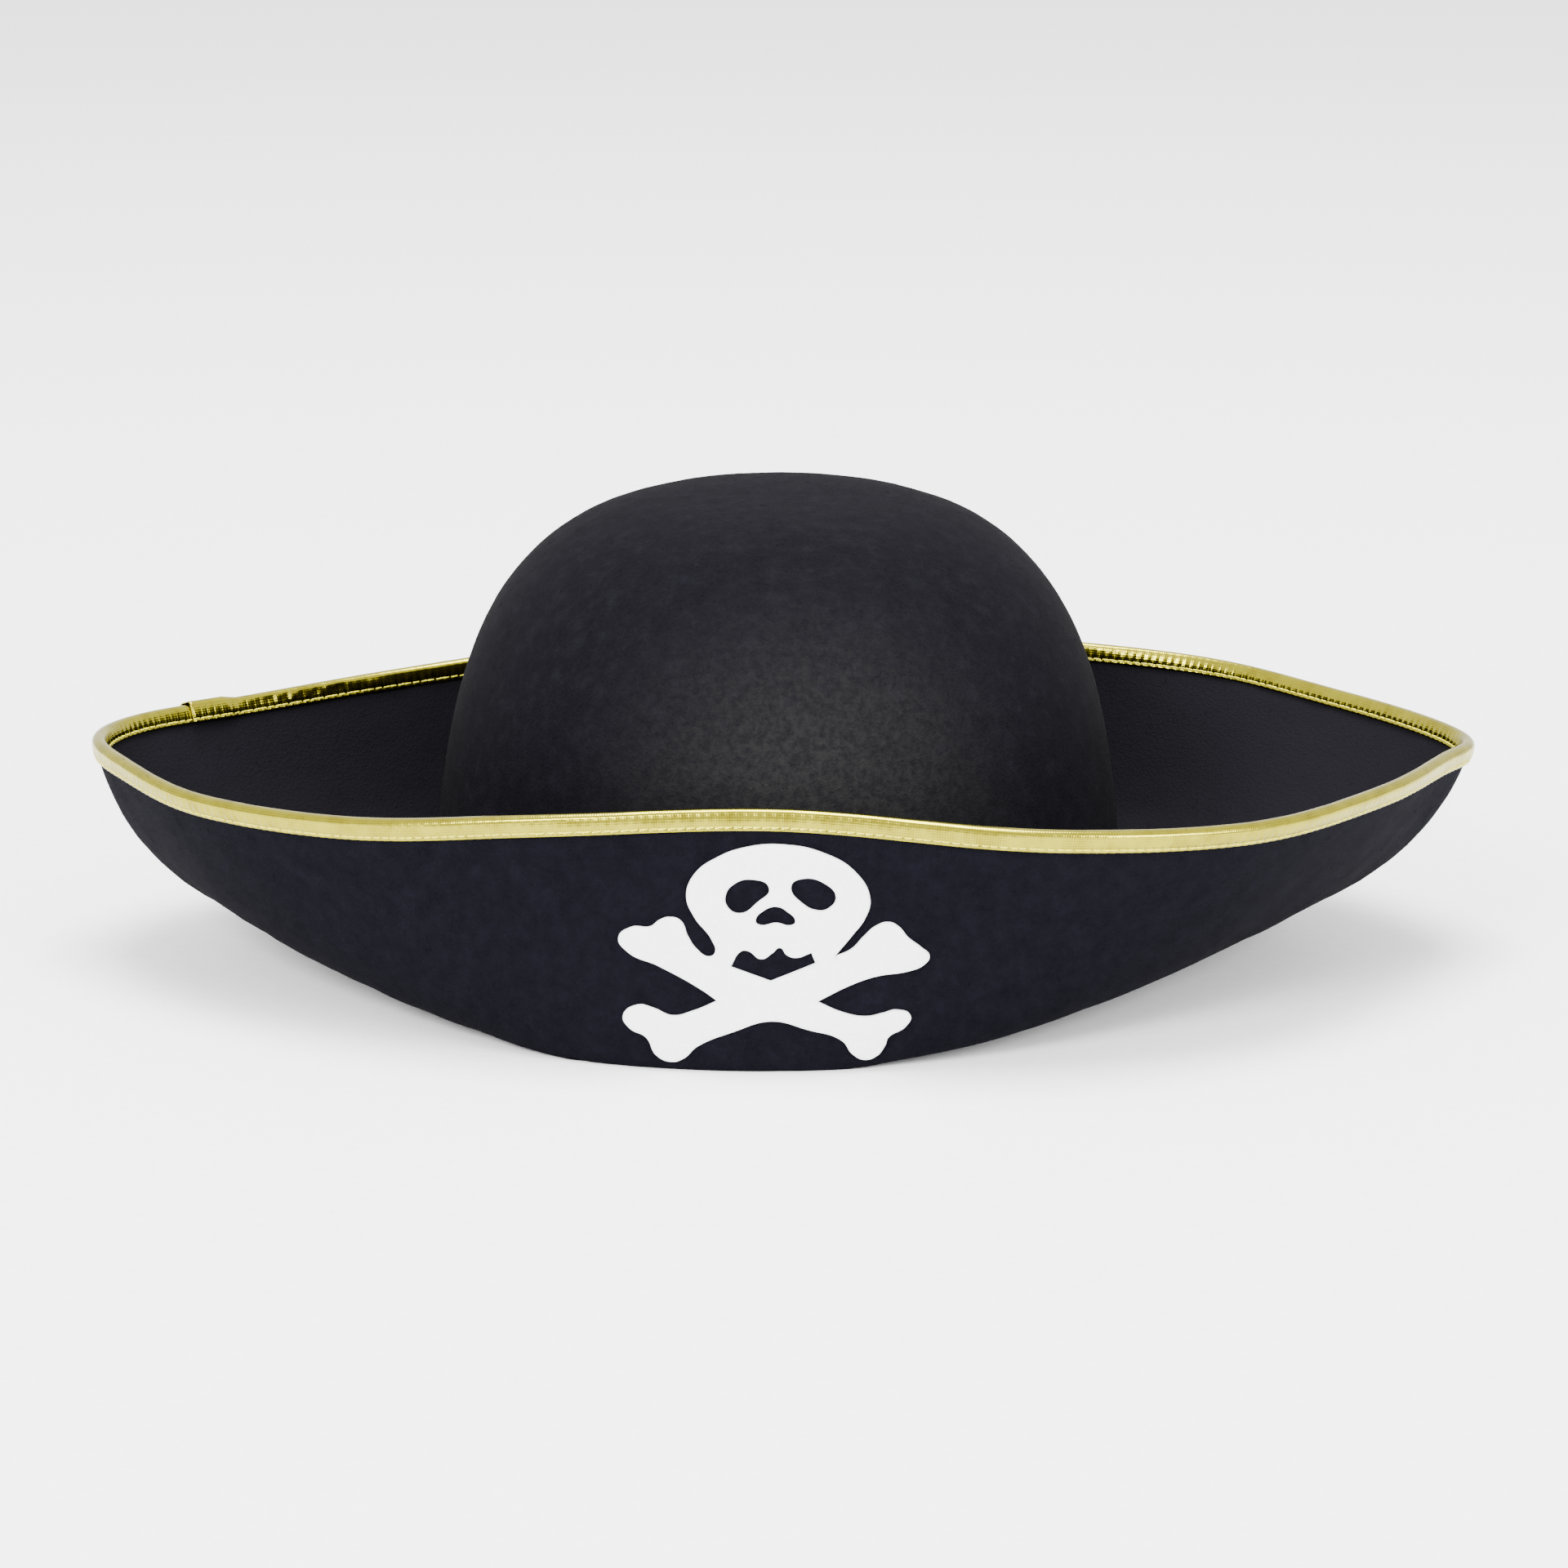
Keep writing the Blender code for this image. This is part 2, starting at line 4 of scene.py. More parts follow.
import bmesh
import bpy
from mathutils import Matrix, Vector, noise
from mathutils.bvhtree import BVHTree
from mathutils.geometry import delaunay_2d_cdt
from mathutils.kdtree import KDTree


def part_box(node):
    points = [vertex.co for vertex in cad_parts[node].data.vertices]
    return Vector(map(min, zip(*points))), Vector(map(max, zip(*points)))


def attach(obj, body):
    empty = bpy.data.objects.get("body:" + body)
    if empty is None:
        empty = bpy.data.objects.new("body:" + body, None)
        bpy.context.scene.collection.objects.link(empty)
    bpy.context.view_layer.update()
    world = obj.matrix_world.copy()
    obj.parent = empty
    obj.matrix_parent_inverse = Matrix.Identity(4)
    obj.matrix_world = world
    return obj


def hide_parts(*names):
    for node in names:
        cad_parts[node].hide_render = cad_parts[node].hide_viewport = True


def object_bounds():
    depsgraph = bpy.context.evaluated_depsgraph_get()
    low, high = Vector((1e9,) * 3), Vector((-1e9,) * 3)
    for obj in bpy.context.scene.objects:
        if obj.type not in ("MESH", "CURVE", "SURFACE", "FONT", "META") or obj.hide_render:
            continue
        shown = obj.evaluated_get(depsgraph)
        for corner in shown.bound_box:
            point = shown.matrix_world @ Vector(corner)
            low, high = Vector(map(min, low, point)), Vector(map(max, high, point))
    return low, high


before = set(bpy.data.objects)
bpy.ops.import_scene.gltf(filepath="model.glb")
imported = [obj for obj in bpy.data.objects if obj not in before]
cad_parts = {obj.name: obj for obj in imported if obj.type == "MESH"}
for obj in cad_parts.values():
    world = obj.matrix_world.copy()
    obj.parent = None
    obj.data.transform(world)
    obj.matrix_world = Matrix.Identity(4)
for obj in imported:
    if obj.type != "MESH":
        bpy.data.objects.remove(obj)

cad_low, cad_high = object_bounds()


# ------------------------------------------------------------------------
# Crown: a hood of black wool felt, steamed, pulled over a round wooden block and left to dry.
# Pressed felt has no weave: short fibres lie in every direction, and the nap is dull and uneven.
# ------------------------------------------------------------------------
MM = 0.001
SURFACE_LEVELS = 2
CRISP_ANGLE = 50
EDGE_CREASE = 0.85
CROWN_UNEVENNESS = 0.16 * MM
CROWN_LUMP = 18 * MM
# Heights over which the unevenness grows from nothing, so that the hat stands flat on a table.
FLAT_BELOW = 0.5 * MM
FLAT_FADE = 6 * MM
FELT_RELIEF = 0.35 * MM
# Wool fibres are about 0.02 mm thick. The web that they make is drawn 1.5 mm wide so that it shows.
FELT_WEB = 1.5 * MM
FELT_WEB_BEND = 1.6 * MM
FELT_TANGLE = 2.2 * MM
FELT_BLOTCH = 5 * MM
FELT_ENDS = 0.5 * MM
# A painted pool of light low on the crown's front: its centre, its reach and the size of its specks.
LIT_PATCH_CENTRE = Vector((8, -100, 62)) * MM
LIT_PATCH_REACH = 75 * MM
LIT_PATCH_SPECK = 2 * MM


def select_only(piece):
    """Makes one piece the selected and active object."""
    bpy.ops.object.select_all(action="DESELECT")
    piece.select_set(True)
    bpy.context.view_layer.objects.active = piece


def copy_of_node(node, name):
    """A new piece with a CAD node's shape, its loose triangles merged and paired into quads."""
    piece = bpy.data.objects.new(name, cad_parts[node].data.copy())
    bpy.context.scene.collection.objects.link(piece)
    piece.data.materials.clear()
    select_only(piece)
    bpy.ops.object.mode_set(mode="EDIT")
    bpy.ops.mesh.select_mode(type="EDGE")
    bpy.ops.mesh.select_all(action="SELECT")
    bpy.ops.mesh.remove_doubles(threshold=0.01 * MM)
    bpy.ops.mesh.tris_convert_to_quads(face_threshold=math.radians(35), shape_threshold=math.radians(60))
    bpy.ops.object.mode_set(mode="OBJECT")
    return piece


def keep_crisp_edges(piece):
    """Creases the edges that stay crisp when the surface is subdivided."""
    select_only(piece)
    bpy.ops.object.mode_set(mode="EDIT")
    bpy.ops.mesh.select_mode(type="EDGE")
    bpy.ops.mesh.select_all(action="DESELECT")
    bpy.ops.mesh.edges_select_sharp(sharpness=math.radians(CRISP_ANGLE))
    bpy.ops.transform.edge_crease(value=EDGE_CREASE)
    bpy.ops.object.mode_set(mode="OBJECT")


def smooth_surface(piece):
    """Applies a Subdivision Surface and shades the piece smooth."""
    select_only(piece)
    bpy.ops.object.modifier_add(type="SUBSURF")
    subdivision = piece.modifiers[-1]
    subdivision.levels = subdivision.render_levels = SURFACE_LEVELS
    bpy.ops.object.modifier_apply(modifier=subdivision.name)
    bpy.ops.object.shade_smooth()


def within_one(value):
    """The value, no less than 0 and no more than 1."""
    return max(0.0, min(1.0, value))


def make_uneven(piece, height, lump):
    """Moves the surface in and out a little, as hand pressed felt is uneven."""
    outward = [vert.normal.copy() for vert in piece.data.vertices]
    for vert, normal in zip(piece.data.vertices, outward):
        off_table = within_one((vert.co.z - FLAT_BELOW) / FLAT_FADE)
        vert.co += normal * (height * off_table * noise.fractal(vert.co / lump, 0.8, 2.0, 3))


def linear(hex_colour):
    """An sRGB hex colour as linear values with alpha."""
    channels = [int(hex_colour[i:i + 2], 16) / 255 for i in (0, 2, 4)]
    return tuple(c / 12.92 if c <= 0.04045 else ((c + 0.055) / 1.055) ** 2.4 for c in channels) + (1.0,)


def add_node(material, kind, inputs=None, stops=(), **settings):
    """Adds a node with its property settings, its inputs and, for a ramp, its colour stops.

    An input is a value, or (node, output) to link from. A stop is (place, hex colour).
    """
    tree = material.node_tree
    node = tree.nodes.new(kind)
    for name, value in settings.items():
        setattr(node, name, value)
    for name, value in (inputs or {}).items():
        if isinstance(value, tuple) and isinstance(value[0], bpy.types.Node):
            tree.links.new(value[0].outputs[value[1]], node.inputs[name])
        else:
            node.inputs[name].default_value = value
    for number, (place, colour) in enumerate(stops):
        if number == len(node.color_ramp.elements):
            node.color_ramp.elements.new(1.0)
        node.color_ramp.elements[number].position = place
        node.color_ramp.elements[number].color = linear(colour)
    return node


def new_material(name, roughness, metallic=0.0, sheen=0.0):
    """A Principled material with its constants on the shader's own sockets."""
    material = bpy.data.materials.new(name)
    material.use_nodes = True
    shader = material.node_tree.nodes["Principled BSDF"]
    shader.inputs["Roughness"].default_value = roughness
    shader.inputs["Metallic"].default_value = metallic
    shader.inputs["Sheen Weight"].default_value = sheen
    return material, shader


def join(material, source, output, target, socket):
    """Links one node's output to another's input."""
    material.node_tree.links.new(source.outputs[output], target.inputs[socket])


def pressed_felt(name, dark, mid, light, lit_patch=None, nap=None):
    """Pressed wool felt: mottled dye, a web of matted fibres and a fine nap, all dull.

    Lit patch is (centre, reach, colour) of a painted pool of light, greyer and broken into specks.
    Lit side is (attribute, colour): painted light, a paler colour on the faces that the attribute marks.
    """
    felt, shader = new_material(name, 0.95)
    shader.inputs["Specular IOR Level"].default_value = 0.04
    place = add_node(felt, "ShaderNodeTexCoord")
    blotches = add_node(
        felt, "ShaderNodeTexNoise",
        {"Vector": (place, "Object"), "Scale": 1 / FELT_BLOTCH, "Detail": 6.0, "Roughness": 0.75})
    tangle = add_node(
        felt, "ShaderNodeTexNoise",
        {"Vector": (place, "Object"), "Scale": 1 / FELT_TANGLE, "Detail": 3.0, "Roughness": 0.7})
    wander = add_node(
        felt, "ShaderNodeVectorMath", {0: (tangle, "Color"), "Scale": FELT_WEB_BEND}, operation="SCALE")
    bent = add_node(
        felt, "ShaderNodeVectorMath", {0: (place, "Object"), 1: (wander, "Vector")}, operation="ADD")
    web = add_node(
        felt, "ShaderNodeTexVoronoi", {"Vector": (bent, "Vector"), "Scale": 1 / FELT_WEB},
        feature="DISTANCE_TO_EDGE")
    strand = add_node(
        felt, "ShaderNodeMapRange",
        {"Value": (web, "Distance"), "From Min": 0.0, "From Max": 0.16, "To Min": 1.0, "To Max": 0.0})
    ends = add_node(
        felt, "ShaderNodeTexNoise",
        {"Vector": (place, "Object"), "Scale": 1 / FELT_ENDS, "Detail": 2.0, "Roughness": 0.8})
    dye = add_node(
        felt, "ShaderNodeValToRGB", {"Fac": (blotches, "Fac")},
        stops=[(0.32, dark), (0.52, mid), (0.72, light)])
    lift = add_node(
        felt, "ShaderNodeMath", {0: (strand, "Result"), 1: (ends, "Fac")}, operation="MULTIPLY")
    part = add_node(felt, "ShaderNodeMath", {0: (lift, "Value"), 1: 0.5}, operation="MULTIPLY")
    colour = add_node(
        felt, "ShaderNodeMix", {"Factor": (part, "Value"), 6: (dye, "Color"), 7: linear(light)},
        data_type="RGBA")
    # Painted light: a paler, greyer pool round a centre, broken into specks.
    if lit_patch:
        centre, reach, lit_grey = lit_patch
        away = add_node(
            felt, "ShaderNodeVectorMath", {0: (place, "Object"), 1: centre}, operation="DISTANCE")
        near = add_node(
            felt, "ShaderNodeMapRange",
            {"Value": (away, "Value"), "From Min": 0.0, "From Max": reach, "To Min": 1.0, "To Max": 0.0},
            interpolation_type="SMOOTHSTEP")
        lit_specks = add_node(
            felt, "ShaderNodeTexNoise",
            {"Vector": (place, "Object"), "Scale": 1 / LIT_PATCH_SPECK, "Detail": 4.0, "Roughness": 0.8})
        patches = add_node(
            felt, "ShaderNodeMapRange",
            {"Value": (lit_specks, "Fac"), "From Min": 0.38, "From Max": 0.62, "To Min": 0.35, "To Max": 1.0})
        amount = add_node(
            felt, "ShaderNodeMath", {0: (near, "Result"), 1: (patches, "Result")}, operation="MULTIPLY")
        colour = add_node(
            felt, "ShaderNodeMix", {"Factor": (amount, "Value"), 6: (colour, 2), 7: linear(lit_grey)},
            data_type="RGBA")
    # Painted light: a paler colour on the faces that an attribute marks.
    if nap:
        side, lit_colour = nap
        amount = add_node(felt, "ShaderNodeAttribute", attribute_name=side)
        colour = add_node(
            felt, "ShaderNodeMix", {"Factor": (amount, "Fac"), 6: (colour, 2), 7: linear(lit_colour)},
            data_type="RGBA")
    join(felt, colour, 2, shader, "Base Color")
    height = add_node(
        felt, "ShaderNodeMath", {0: (strand, "Result"), 1: 0.5, 2: (ends, "Fac")},
        operation="MULTIPLY_ADD")
    relief = add_node(
        felt, "ShaderNodeBump", {"Height": (height, "Value"), "Strength": 0.4, "Distance": FELT_RELIEF})
    join(felt, relief, "Normal", shader, "Normal")
    return felt


# Black dyed wool, steamed and pressed: near black, with no gloss, and a painted pool of light, greyer, low on
# the crown's front.
crown_felt = pressed_felt(
    "black_wool_felt_crown", "050408", "08070b", "0e0d12", lit_patch=(LIT_PATCH_CENTRE, LIT_PATCH_REACH, "1c1c1c"))

crown = copy_of_node("crown", "felt_crown")
keep_crisp_edges(crown)
smooth_surface(crown)
make_uneven(crown, CROWN_UNEVENNESS, CROWN_LUMP)
crown.data.materials.append(crown_felt)
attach(crown, "hat")
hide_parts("crown")


# ------------------------------------------------------------------------
# Brim: a wide ring of the same felt, steamed upwards at the front and the back while it is damp.
# Its inner edge is a short upright collar, which sits inside the crown and is sewn to it.
# ------------------------------------------------------------------------
FELT_THICKNESS = 2 * MM
BRIM_UNEVENNESS = 0.22 * MM
BRIM_LUMP = 12 * MM
# The narrow cut face of the rim looks up, stands high, and is about one felt thickness wide.
RIM_FACES_UP = 0.75
RIM_STANDS = 0.75
RIM_NARROWEST = 1.2 * MM
RIM_WIDEST = 3.2 * MM

brim = copy_of_node("brim", "felt_brim")


def rim_stations(piece):
    """The brim's edge as pairs of points, outer face then inner face, in order round the hat."""
    high = RIM_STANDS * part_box("brim")[1].z
    found = bmesh.new()
    found.from_mesh(piece.data)
    stations = []
    for edge in found.edges:
        a, b = (vert.co for vert in edge.verts)
        on_strip = all(face.normal.z > RIM_FACES_UP for face in edge.link_faces)
        if on_strip and min(a.z, b.z) > high and RIM_NARROWEST < (a - b).length < RIM_WIDEST:
            outer, inner = (a, b) if a.xy.length > b.xy.length else (b, a)
            stations.append((outer.copy(), inner.copy()))
    found.free()
    return sorted(stations, key=lambda pair: math.atan2(pair[0].y, pair[0].x))


rim = rim_stations(brim)
keep_crisp_edges(brim)
smooth_surface(brim)
make_uneven(brim, BRIM_UNEVENNESS, BRIM_LUMP)
# Painted light: marks the faces that look inwards or up, which are painted paler.
inner_light = brim.data.attributes.new("raised_nap", "FLOAT", "POINT")
for vert, normal, value in zip(brim.data.vertices, brim.data.vertex_normals, inner_light.data):
    facing_in = -Vector((vert.co.x, vert.co.y, 0.0)).normalized().dot(normal.vector)
    value.value = within_one(0.5 + 2.0 * (facing_in + 0.4 * normal.vector.z))
# The same black felt, a little bluer, with painted light: its inner and upward faces are painted paler.
brim_felt = pressed_felt(
    "black_wool_felt_brim", "05050a", "09080e", "0c0c13", nap=("raised_nap", "131216"))
brim.data.materials.append(brim_felt)
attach(brim, "hat")
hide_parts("brim")


# ------------------------------------------------------------------------
# Loose fibres: wool ends that have worked out of the felt, lying low in every direction.
# They are part of the felt. Drawn thicker than a real wool fibre so that they show.
# ------------------------------------------------------------------------
FIBRE_COUNT = 3400
FIBRE_RADIUS = 0.035 * MM
FIBRE_TAPER = 0.6
FIBRE_STEPS = 3
FIBRE_SIDES = 3
FIBRE_ROOT_DEPTH = 0.05 * MM
# Shortest and longest, lowest and highest, in millimetres, and the bend to each side.
FIBRE_LENGTHS = (0.6, 1.9)
FIBRE_RISES = (0.1, 0.6)
FIBRE_CURLS = (-0.5, 0.5)
OFF_TABLE = 2.5 * MM

random.seed(7)


def new_piece(name, points, faces):
    """A piece made from points and faces."""
    mesh = bpy.data.meshes.new(name)
    mesh.from_pydata(points, (), faces)
    piece = bpy.data.objects.new(name, mesh)
    bpy.context.scene.collection.objects.link(piece)
    return piece


def loose_fibres(name, surface):
    """Short curved fibres standing a little off a surface, as one piece."""
    polygons = [face for face in surface.data.polygons if face.center.z > OFF_TABLE]
    chosen = random.choices(polygons, weights=[face.area for face in polygons], k=FIBRE_COUNT)
    points, faces = [], []
    for face in chosen:
        shares = [random.random() + 0.05 for _ in face.vertices]
        corners = [surface.data.vertices[i].co for i in face.vertices]
        root = sum((co * share for co, share in zip(corners, shares)), Vector()) / sum(shares)
        lean = face.normal.orthogonal()
        lean.rotate(Matrix.Rotation(random.uniform(0, 2 * math.pi), 3, face.normal))
        aside = face.normal.cross(lean)
        length = random.uniform(*FIBRE_LENGTHS) * MM
        rise = random.uniform(*FIBRE_RISES) * MM
        curl = random.uniform(*FIBRE_CURLS)
        first = len(points)
        for step in range(FIBRE_STEPS + 1):
            t = step / FIBRE_STEPS
            on_line = root + lean * (length * t) + aside * (length * curl * t * t)
            on_line += face.normal * (rise * math.sin(2.6 * t) - FIBRE_ROOT_DEPTH)
            radius = FIBRE_RADIUS * (1.0 - FIBRE_TAPER * t)
            for k in range(FIBRE_SIDES):
                a = 2 * math.pi * k / FIBRE_SIDES
                points.append(on_line + (face.normal * math.cos(a) + aside * math.sin(a)) * radius)
        for step in range(FIBRE_STEPS):
            for k in range(FIBRE_SIDES):
                a = first + FIBRE_SIDES * step + k
                b = first + FIBRE_SIDES * step + (k + 1) % FIBRE_SIDES
                faces.append((a, b, b + FIBRE_SIDES, a + FIBRE_SIDES))
        faces.append(tuple(range(first + FIBRE_SIDES - 1, first - 1, -1)))
        faces.append(tuple(range(len(points) - FIBRE_SIDES, len(points))))
    piece = new_piece(name, points, faces)
    piece.data.shade_smooth()
    return piece


for name, surface, material in (
        ("crown_loose_fibres", crown, crown_felt), ("brim_loose_fibres", brim, brim_felt)):
    fibres = loose_fibres(name, surface)
    fibres.data.materials.append(material)
    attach(fibres, "hat")


# ------------------------------------------------------------------------
# Edge binding: a bias tape of gold lame, a cloth woven with flat metallic yarn, folded over the
# rim with its raw edges turned in, and sewn through all layers close to its lower edge.
# ------------------------------------------------------------------------
TAPE_STEP = 0.5 * MM
TAPE_LAP = 12 * MM
LAP_ANGLE = 163
LAP_RISE = 0.75 * MM
LAP_RAMP = 5 * MM
FOLD_DEPTH = 0.6 * MM
CURVE_PARTS = 12
STITCH_PITCH = 2.3 * MM
STITCH_DROP = 4.0 * MM

# Across the tape, in millimetres: how far it stands off the felt, and how far it is below the rim.
OUTER_LEG = [
    (0.12, 4.8), (0.45, 5.0), (0.74, 4.9), (0.8, 4.6), (0.66, 4.25), (0.56, 4.0), (0.64, 3.75),
    (0.8, 3.35), (0.86, 2.7), (0.84, 2.0), (0.8, 1.4), (0.72, 0.8), (0.52, 0.25), (-0.25, -0.22),
    (-0.6, -0.3),
]
TAPE_LINING = [(0.1, 4.5), (0.12, 2.6), (0.1, 0.4), (-0.3, -0.06)]

# Swells between stitches, in millimetres: height, how far above the stitching, and width.
PUCKERS = [(0.3, 0.0, 0.9), (0.16, 1.6, 1.5)]
# Slanting ripples, in millimetres: height, length, slant and width, and a seed for each side.
CREASES = [(0.10, 9, 5, 6, 3.1), (0.06, 3.2, -3, 4, 7.7)]
CREASE_DROP = 1.9 * MM
# Near the lapped ends the ripples are deeper: how much, how far from the end, and over how long.
CRUMPLE = 3.5
CRUMPLE_PLACE = 26 * MM
CRUMPLE_LENGTH = 24 * MM

# A lame yarn is about 0.15 mm wide. The weave is drawn 0.45 mm wide so that it shows.
LAME_YARN = 0.45 * MM
LAME_CLOUD = 6 * MM


def closed_curve(points):
    """A smooth closed curve through points, with CURVE_PARTS parts between each two of them."""
    smooth = []
    total = len(points)
    for i in range(total):
        before, start, end, after = (points[(i + k) % total] for k in (-1, 0, 1, 2))
        for part in range(CURVE_PARTS):
            t = part / CURVE_PARTS
            smooth.append(0.5 * (2 * start + (end - before) * t
                                 + (2 * before - 5 * start + 4 * end - after) * t ** 2
                                 + (3 * start - before - 3 * end + after) * t ** 3))
    return smooth


def rim_path(step):
    """Points along the rim a step apart: rim point, outward, down, and the run from the start."""
    outer = closed_curve([pair[0] for pair in rim])
    inner = closed_curve([pair[1] for pair in rim])
    run = [0.0]
    for i in range(len(outer)):
        run.append(run[-1] + (outer[(i + 1) % len(outer)] - outer[i]).length)
    length = run[-1]
    count = round(length / step)
    path = []
    k = 0
    for i in range(count):
        s = length * i / count
        while run[k + 1] < s:
            k += 1
        t = (s - run[k]) / (run[k + 1] - run[k])
        after = (k + 1) % len(outer)
        point = outer[k].lerp(outer[after], t)
        outward = (point - inner[k].lerp(inner[after], t)).normalized()
        along = (outer[(k + 2) % len(outer)] - outer[k - 1]).normalized()
        down = along.cross(outward).normalized()
        path.append((point, outward, down if down.z < 0 else -down, s))
    return path, length


def start_at(path, angle, length):
    """The same path, begun at the point nearest an angle round the hat."""
    first = min(range(len(path)), key=lambda i: abs(math.atan2(path[i][0].y, path[i][0].x) - angle))
    turned = path[first:] + path[:first]
    return [(point, outward, down, (s - path[first][3]) % length) for point, outward, down, s in turned]


path, rim_length = rim_path(TAPE_STEP)
path = start_at(path, math.radians(LAP_ANGLE), rim_length)
pitch = rim_length / round(rim_length / STITCH_PITCH)


def wave(share):
    """A smooth wave from 0 up to 1 and back for each whole share."""
    return 0.5 - 0.5 * math.cos(2 * math.pi * share)


def bell(value, middle, width):
    """1 at the middle, falling smoothly to nothing on each side."""
    return math.exp(-((value - middle) / width) ** 2)


def pucker(s, drop):
    """How much the cloth swells between stitches, near the line of stitching."""
    swell = sum(height * bell(drop, STITCH_DROP - above * MM, width * MM) for height, above, width in PUCKERS)
    return swell * MM * wave(s / pitch)


def creases(s, side, drop):
    """Slanting ripples between the stitching and the fold, deeper where the tape's ends meet."""
    ripple = 0.0
    for height, length, slant, width, seed in CREASES:
        place = Vector((s / (length * MM) + drop / (slant * MM), drop / (width * MM), seed * side))
        ripple += height * noise.noise(place)
    crumpled = 1 + CRUMPLE * bell(rim_length - s, CRUMPLE_PLACE, CRUMPLE_LENGTH)
    return ripple * MM * bell(drop, CREASE_DROP, CREASE_DROP) * crumpled


def tape_ring(point, outward, down, s, rise):
    """One closed section of the tape: its face from lower edge to lower edge, then its lining."""
    middle = -FELT_THICKNESS / 2
    face = [(leg, 1) for leg in OUTER_LEG] + [(leg, -1) for leg in reversed(OUTER_LEG)]
    lining = [(leg, -1) for leg in TAPE_LINING] + [(leg, 1) for leg in reversed(TAPE_LINING)]
    ring = []
    for number, ((off_felt, below_rim), side) in enumerate(face + lining):
        drop = below_rim * MM
        lifted = off_felt * MM + rise
        if number < len(face):
            lifted += pucker(s, drop) + creases(s, side, drop)
        across = middle + side * (lifted - middle)
        ring.append(point + outward * across + down * (drop - rise * (drop < FOLD_DEPTH)))
    return ring


def lap_rise(s):
    """How far the tape's end is lifted as it nears and covers the tape's start."""
    return LAP_RISE * within_one(1 - (rim_length - s) / LAP_RAMP)


def face_outwards(piece):
    """Turns all of a piece's faces outwards."""
    select_only(piece)
    bpy.ops.object.mode_set(mode="EDIT")
    bpy.ops.mesh.select_all(action="SELECT")
    bpy.ops.mesh.normals_make_consistent(inside=False)
    bpy.ops.object.mode_set(mode="OBJECT")


def swept(name, sections, crisp_angle):
    """A solid piece through closed sections that have the same number of points."""
    around = len(sections[0])
    faces = [(r * around + c, r * around + (c + 1) % around, (r + 1) * around + (c + 1) % around,
              (r + 1) * around + c) for r in range(len(sections) - 1) for c in range(around)]
    faces.append(tuple(range(around)))
    faces.append(tuple((len(sections) - 1) * around + c for c in reversed(range(around))))
    piece = new_piece(name, [point for section in sections for point in section], faces)
    face_outwards(piece)
    bpy.ops.object.shade_smooth_by_angle(angle=math.radians(crisp_angle))
    return piece


rings = [tape_ring(*station, lap_rise(station[3])) for station in path]
rings += [tape_ring(*station, LAP_RISE) for station in path if station[3] < TAPE_LAP]
tape = swept("gold_binding", rings, 180)
cloth = tape.data.uv_layers.new(name="cloth")
across_tape = [0.0]
for a, b in zip(rings[0], rings[0][1:]):
    across_tape.append(across_tape[-1] + (b - a).length)
for loop in tape.data.loops:
    ring, corner = divmod(loop.vertex_index, len(rings[0]))
    cloth.data[loop.index].uv = (ring * TAPE_STEP, across_tape[corner])


def woven_lame(name, colour, shadow):
    """Gold lame: flat metallic yarn in a plain weave, cut on the bias, bright but not a mirror."""
    lame, shader = new_material(name, 0.2, metallic=1.0)
    place = add_node(lame, "ShaderNodeUVMap", uv_map="cloth")
    bias = add_node(
        lame, "ShaderNodeMapping",
        {"Vector": (place, "UV"), "Rotation": (0.0, 0.0, math.radians(45)),
         "Scale": (1 / LAME_YARN, 1 / LAME_YARN, 1.0)})
    parts = add_node(lame, "ShaderNodeSeparateXYZ", {"Vector": (bias, "Vector")})
    warp = add_node(lame, "ShaderNodeMath", {0: (parts, "X"), 1: math.pi}, operation="MULTIPLY")
    weft = add_node(lame, "ShaderNodeMath", {0: (parts, "Y"), 1: math.pi}, operation="MULTIPLY")
    warp_wave = add_node(lame, "ShaderNodeMath", {0: (warp, "Value")}, operation="SINE")
    weft_wave = add_node(lame, "ShaderNodeMath", {0: (weft, "Value")}, operation="SINE")
    weave = add_node(
        lame, "ShaderNodeMath", {0: (warp_wave, "Value"), 1: (weft_wave, "Value")}, operation="MULTIPLY")
    clouds = add_node(
        lame, "ShaderNodeTexNoise",
        {"Vector": (place, "UV"), "Scale": 1 / LAME_CLOUD, "Detail": 3.0, "Roughness": 0.6})
    shade = add_node(
        lame, "ShaderNodeMath", {0: (weave, "Value"), 1: 0.22, 2: (clouds, "Fac")},
        operation="MULTIPLY_ADD")
    ramp = add_node(
        lame, "ShaderNodeValToRGB", {"Fac": (shade, "Value")}, stops=[(0.2, shadow), (0.6, colour)])
    join(lame, ramp, "Color", shader, "Base Color")
    relief = add_node(
        lame, "ShaderNodeBump", {"Height": (weave, "Value"), "Strength": 0.18, "Distance": 0.06 * MM})
    join(lame, relief, "Normal", shader, "Normal")
    return lame


# Polyester film with a gold coloured metal coat: bright, greenish gold, broken up by its weave.
tape.data.materials.append(woven_lame("gold_lame", "a0982a", "7e741a"))
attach(tape, "hat")
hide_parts("edge_binding")


# ------------------------------------------------------------------------
# Stitching of the binding: one row of lockstitch in yellow-gold thread, seen on both sides.
# Each stitch dips into the cloth at its two ends and stands a little proud in its middle.
# ------------------------------------------------------------------------
THREAD_RADIUS = 0.24 * MM
STITCH_SHARE = 0.86
# How far the tape stands off the felt at the stitching, and how far the thread is above that.
STITCH_LIFT = (0.56 + 0.16) * MM
THREAD_MOTTLE = 0.9 * MM


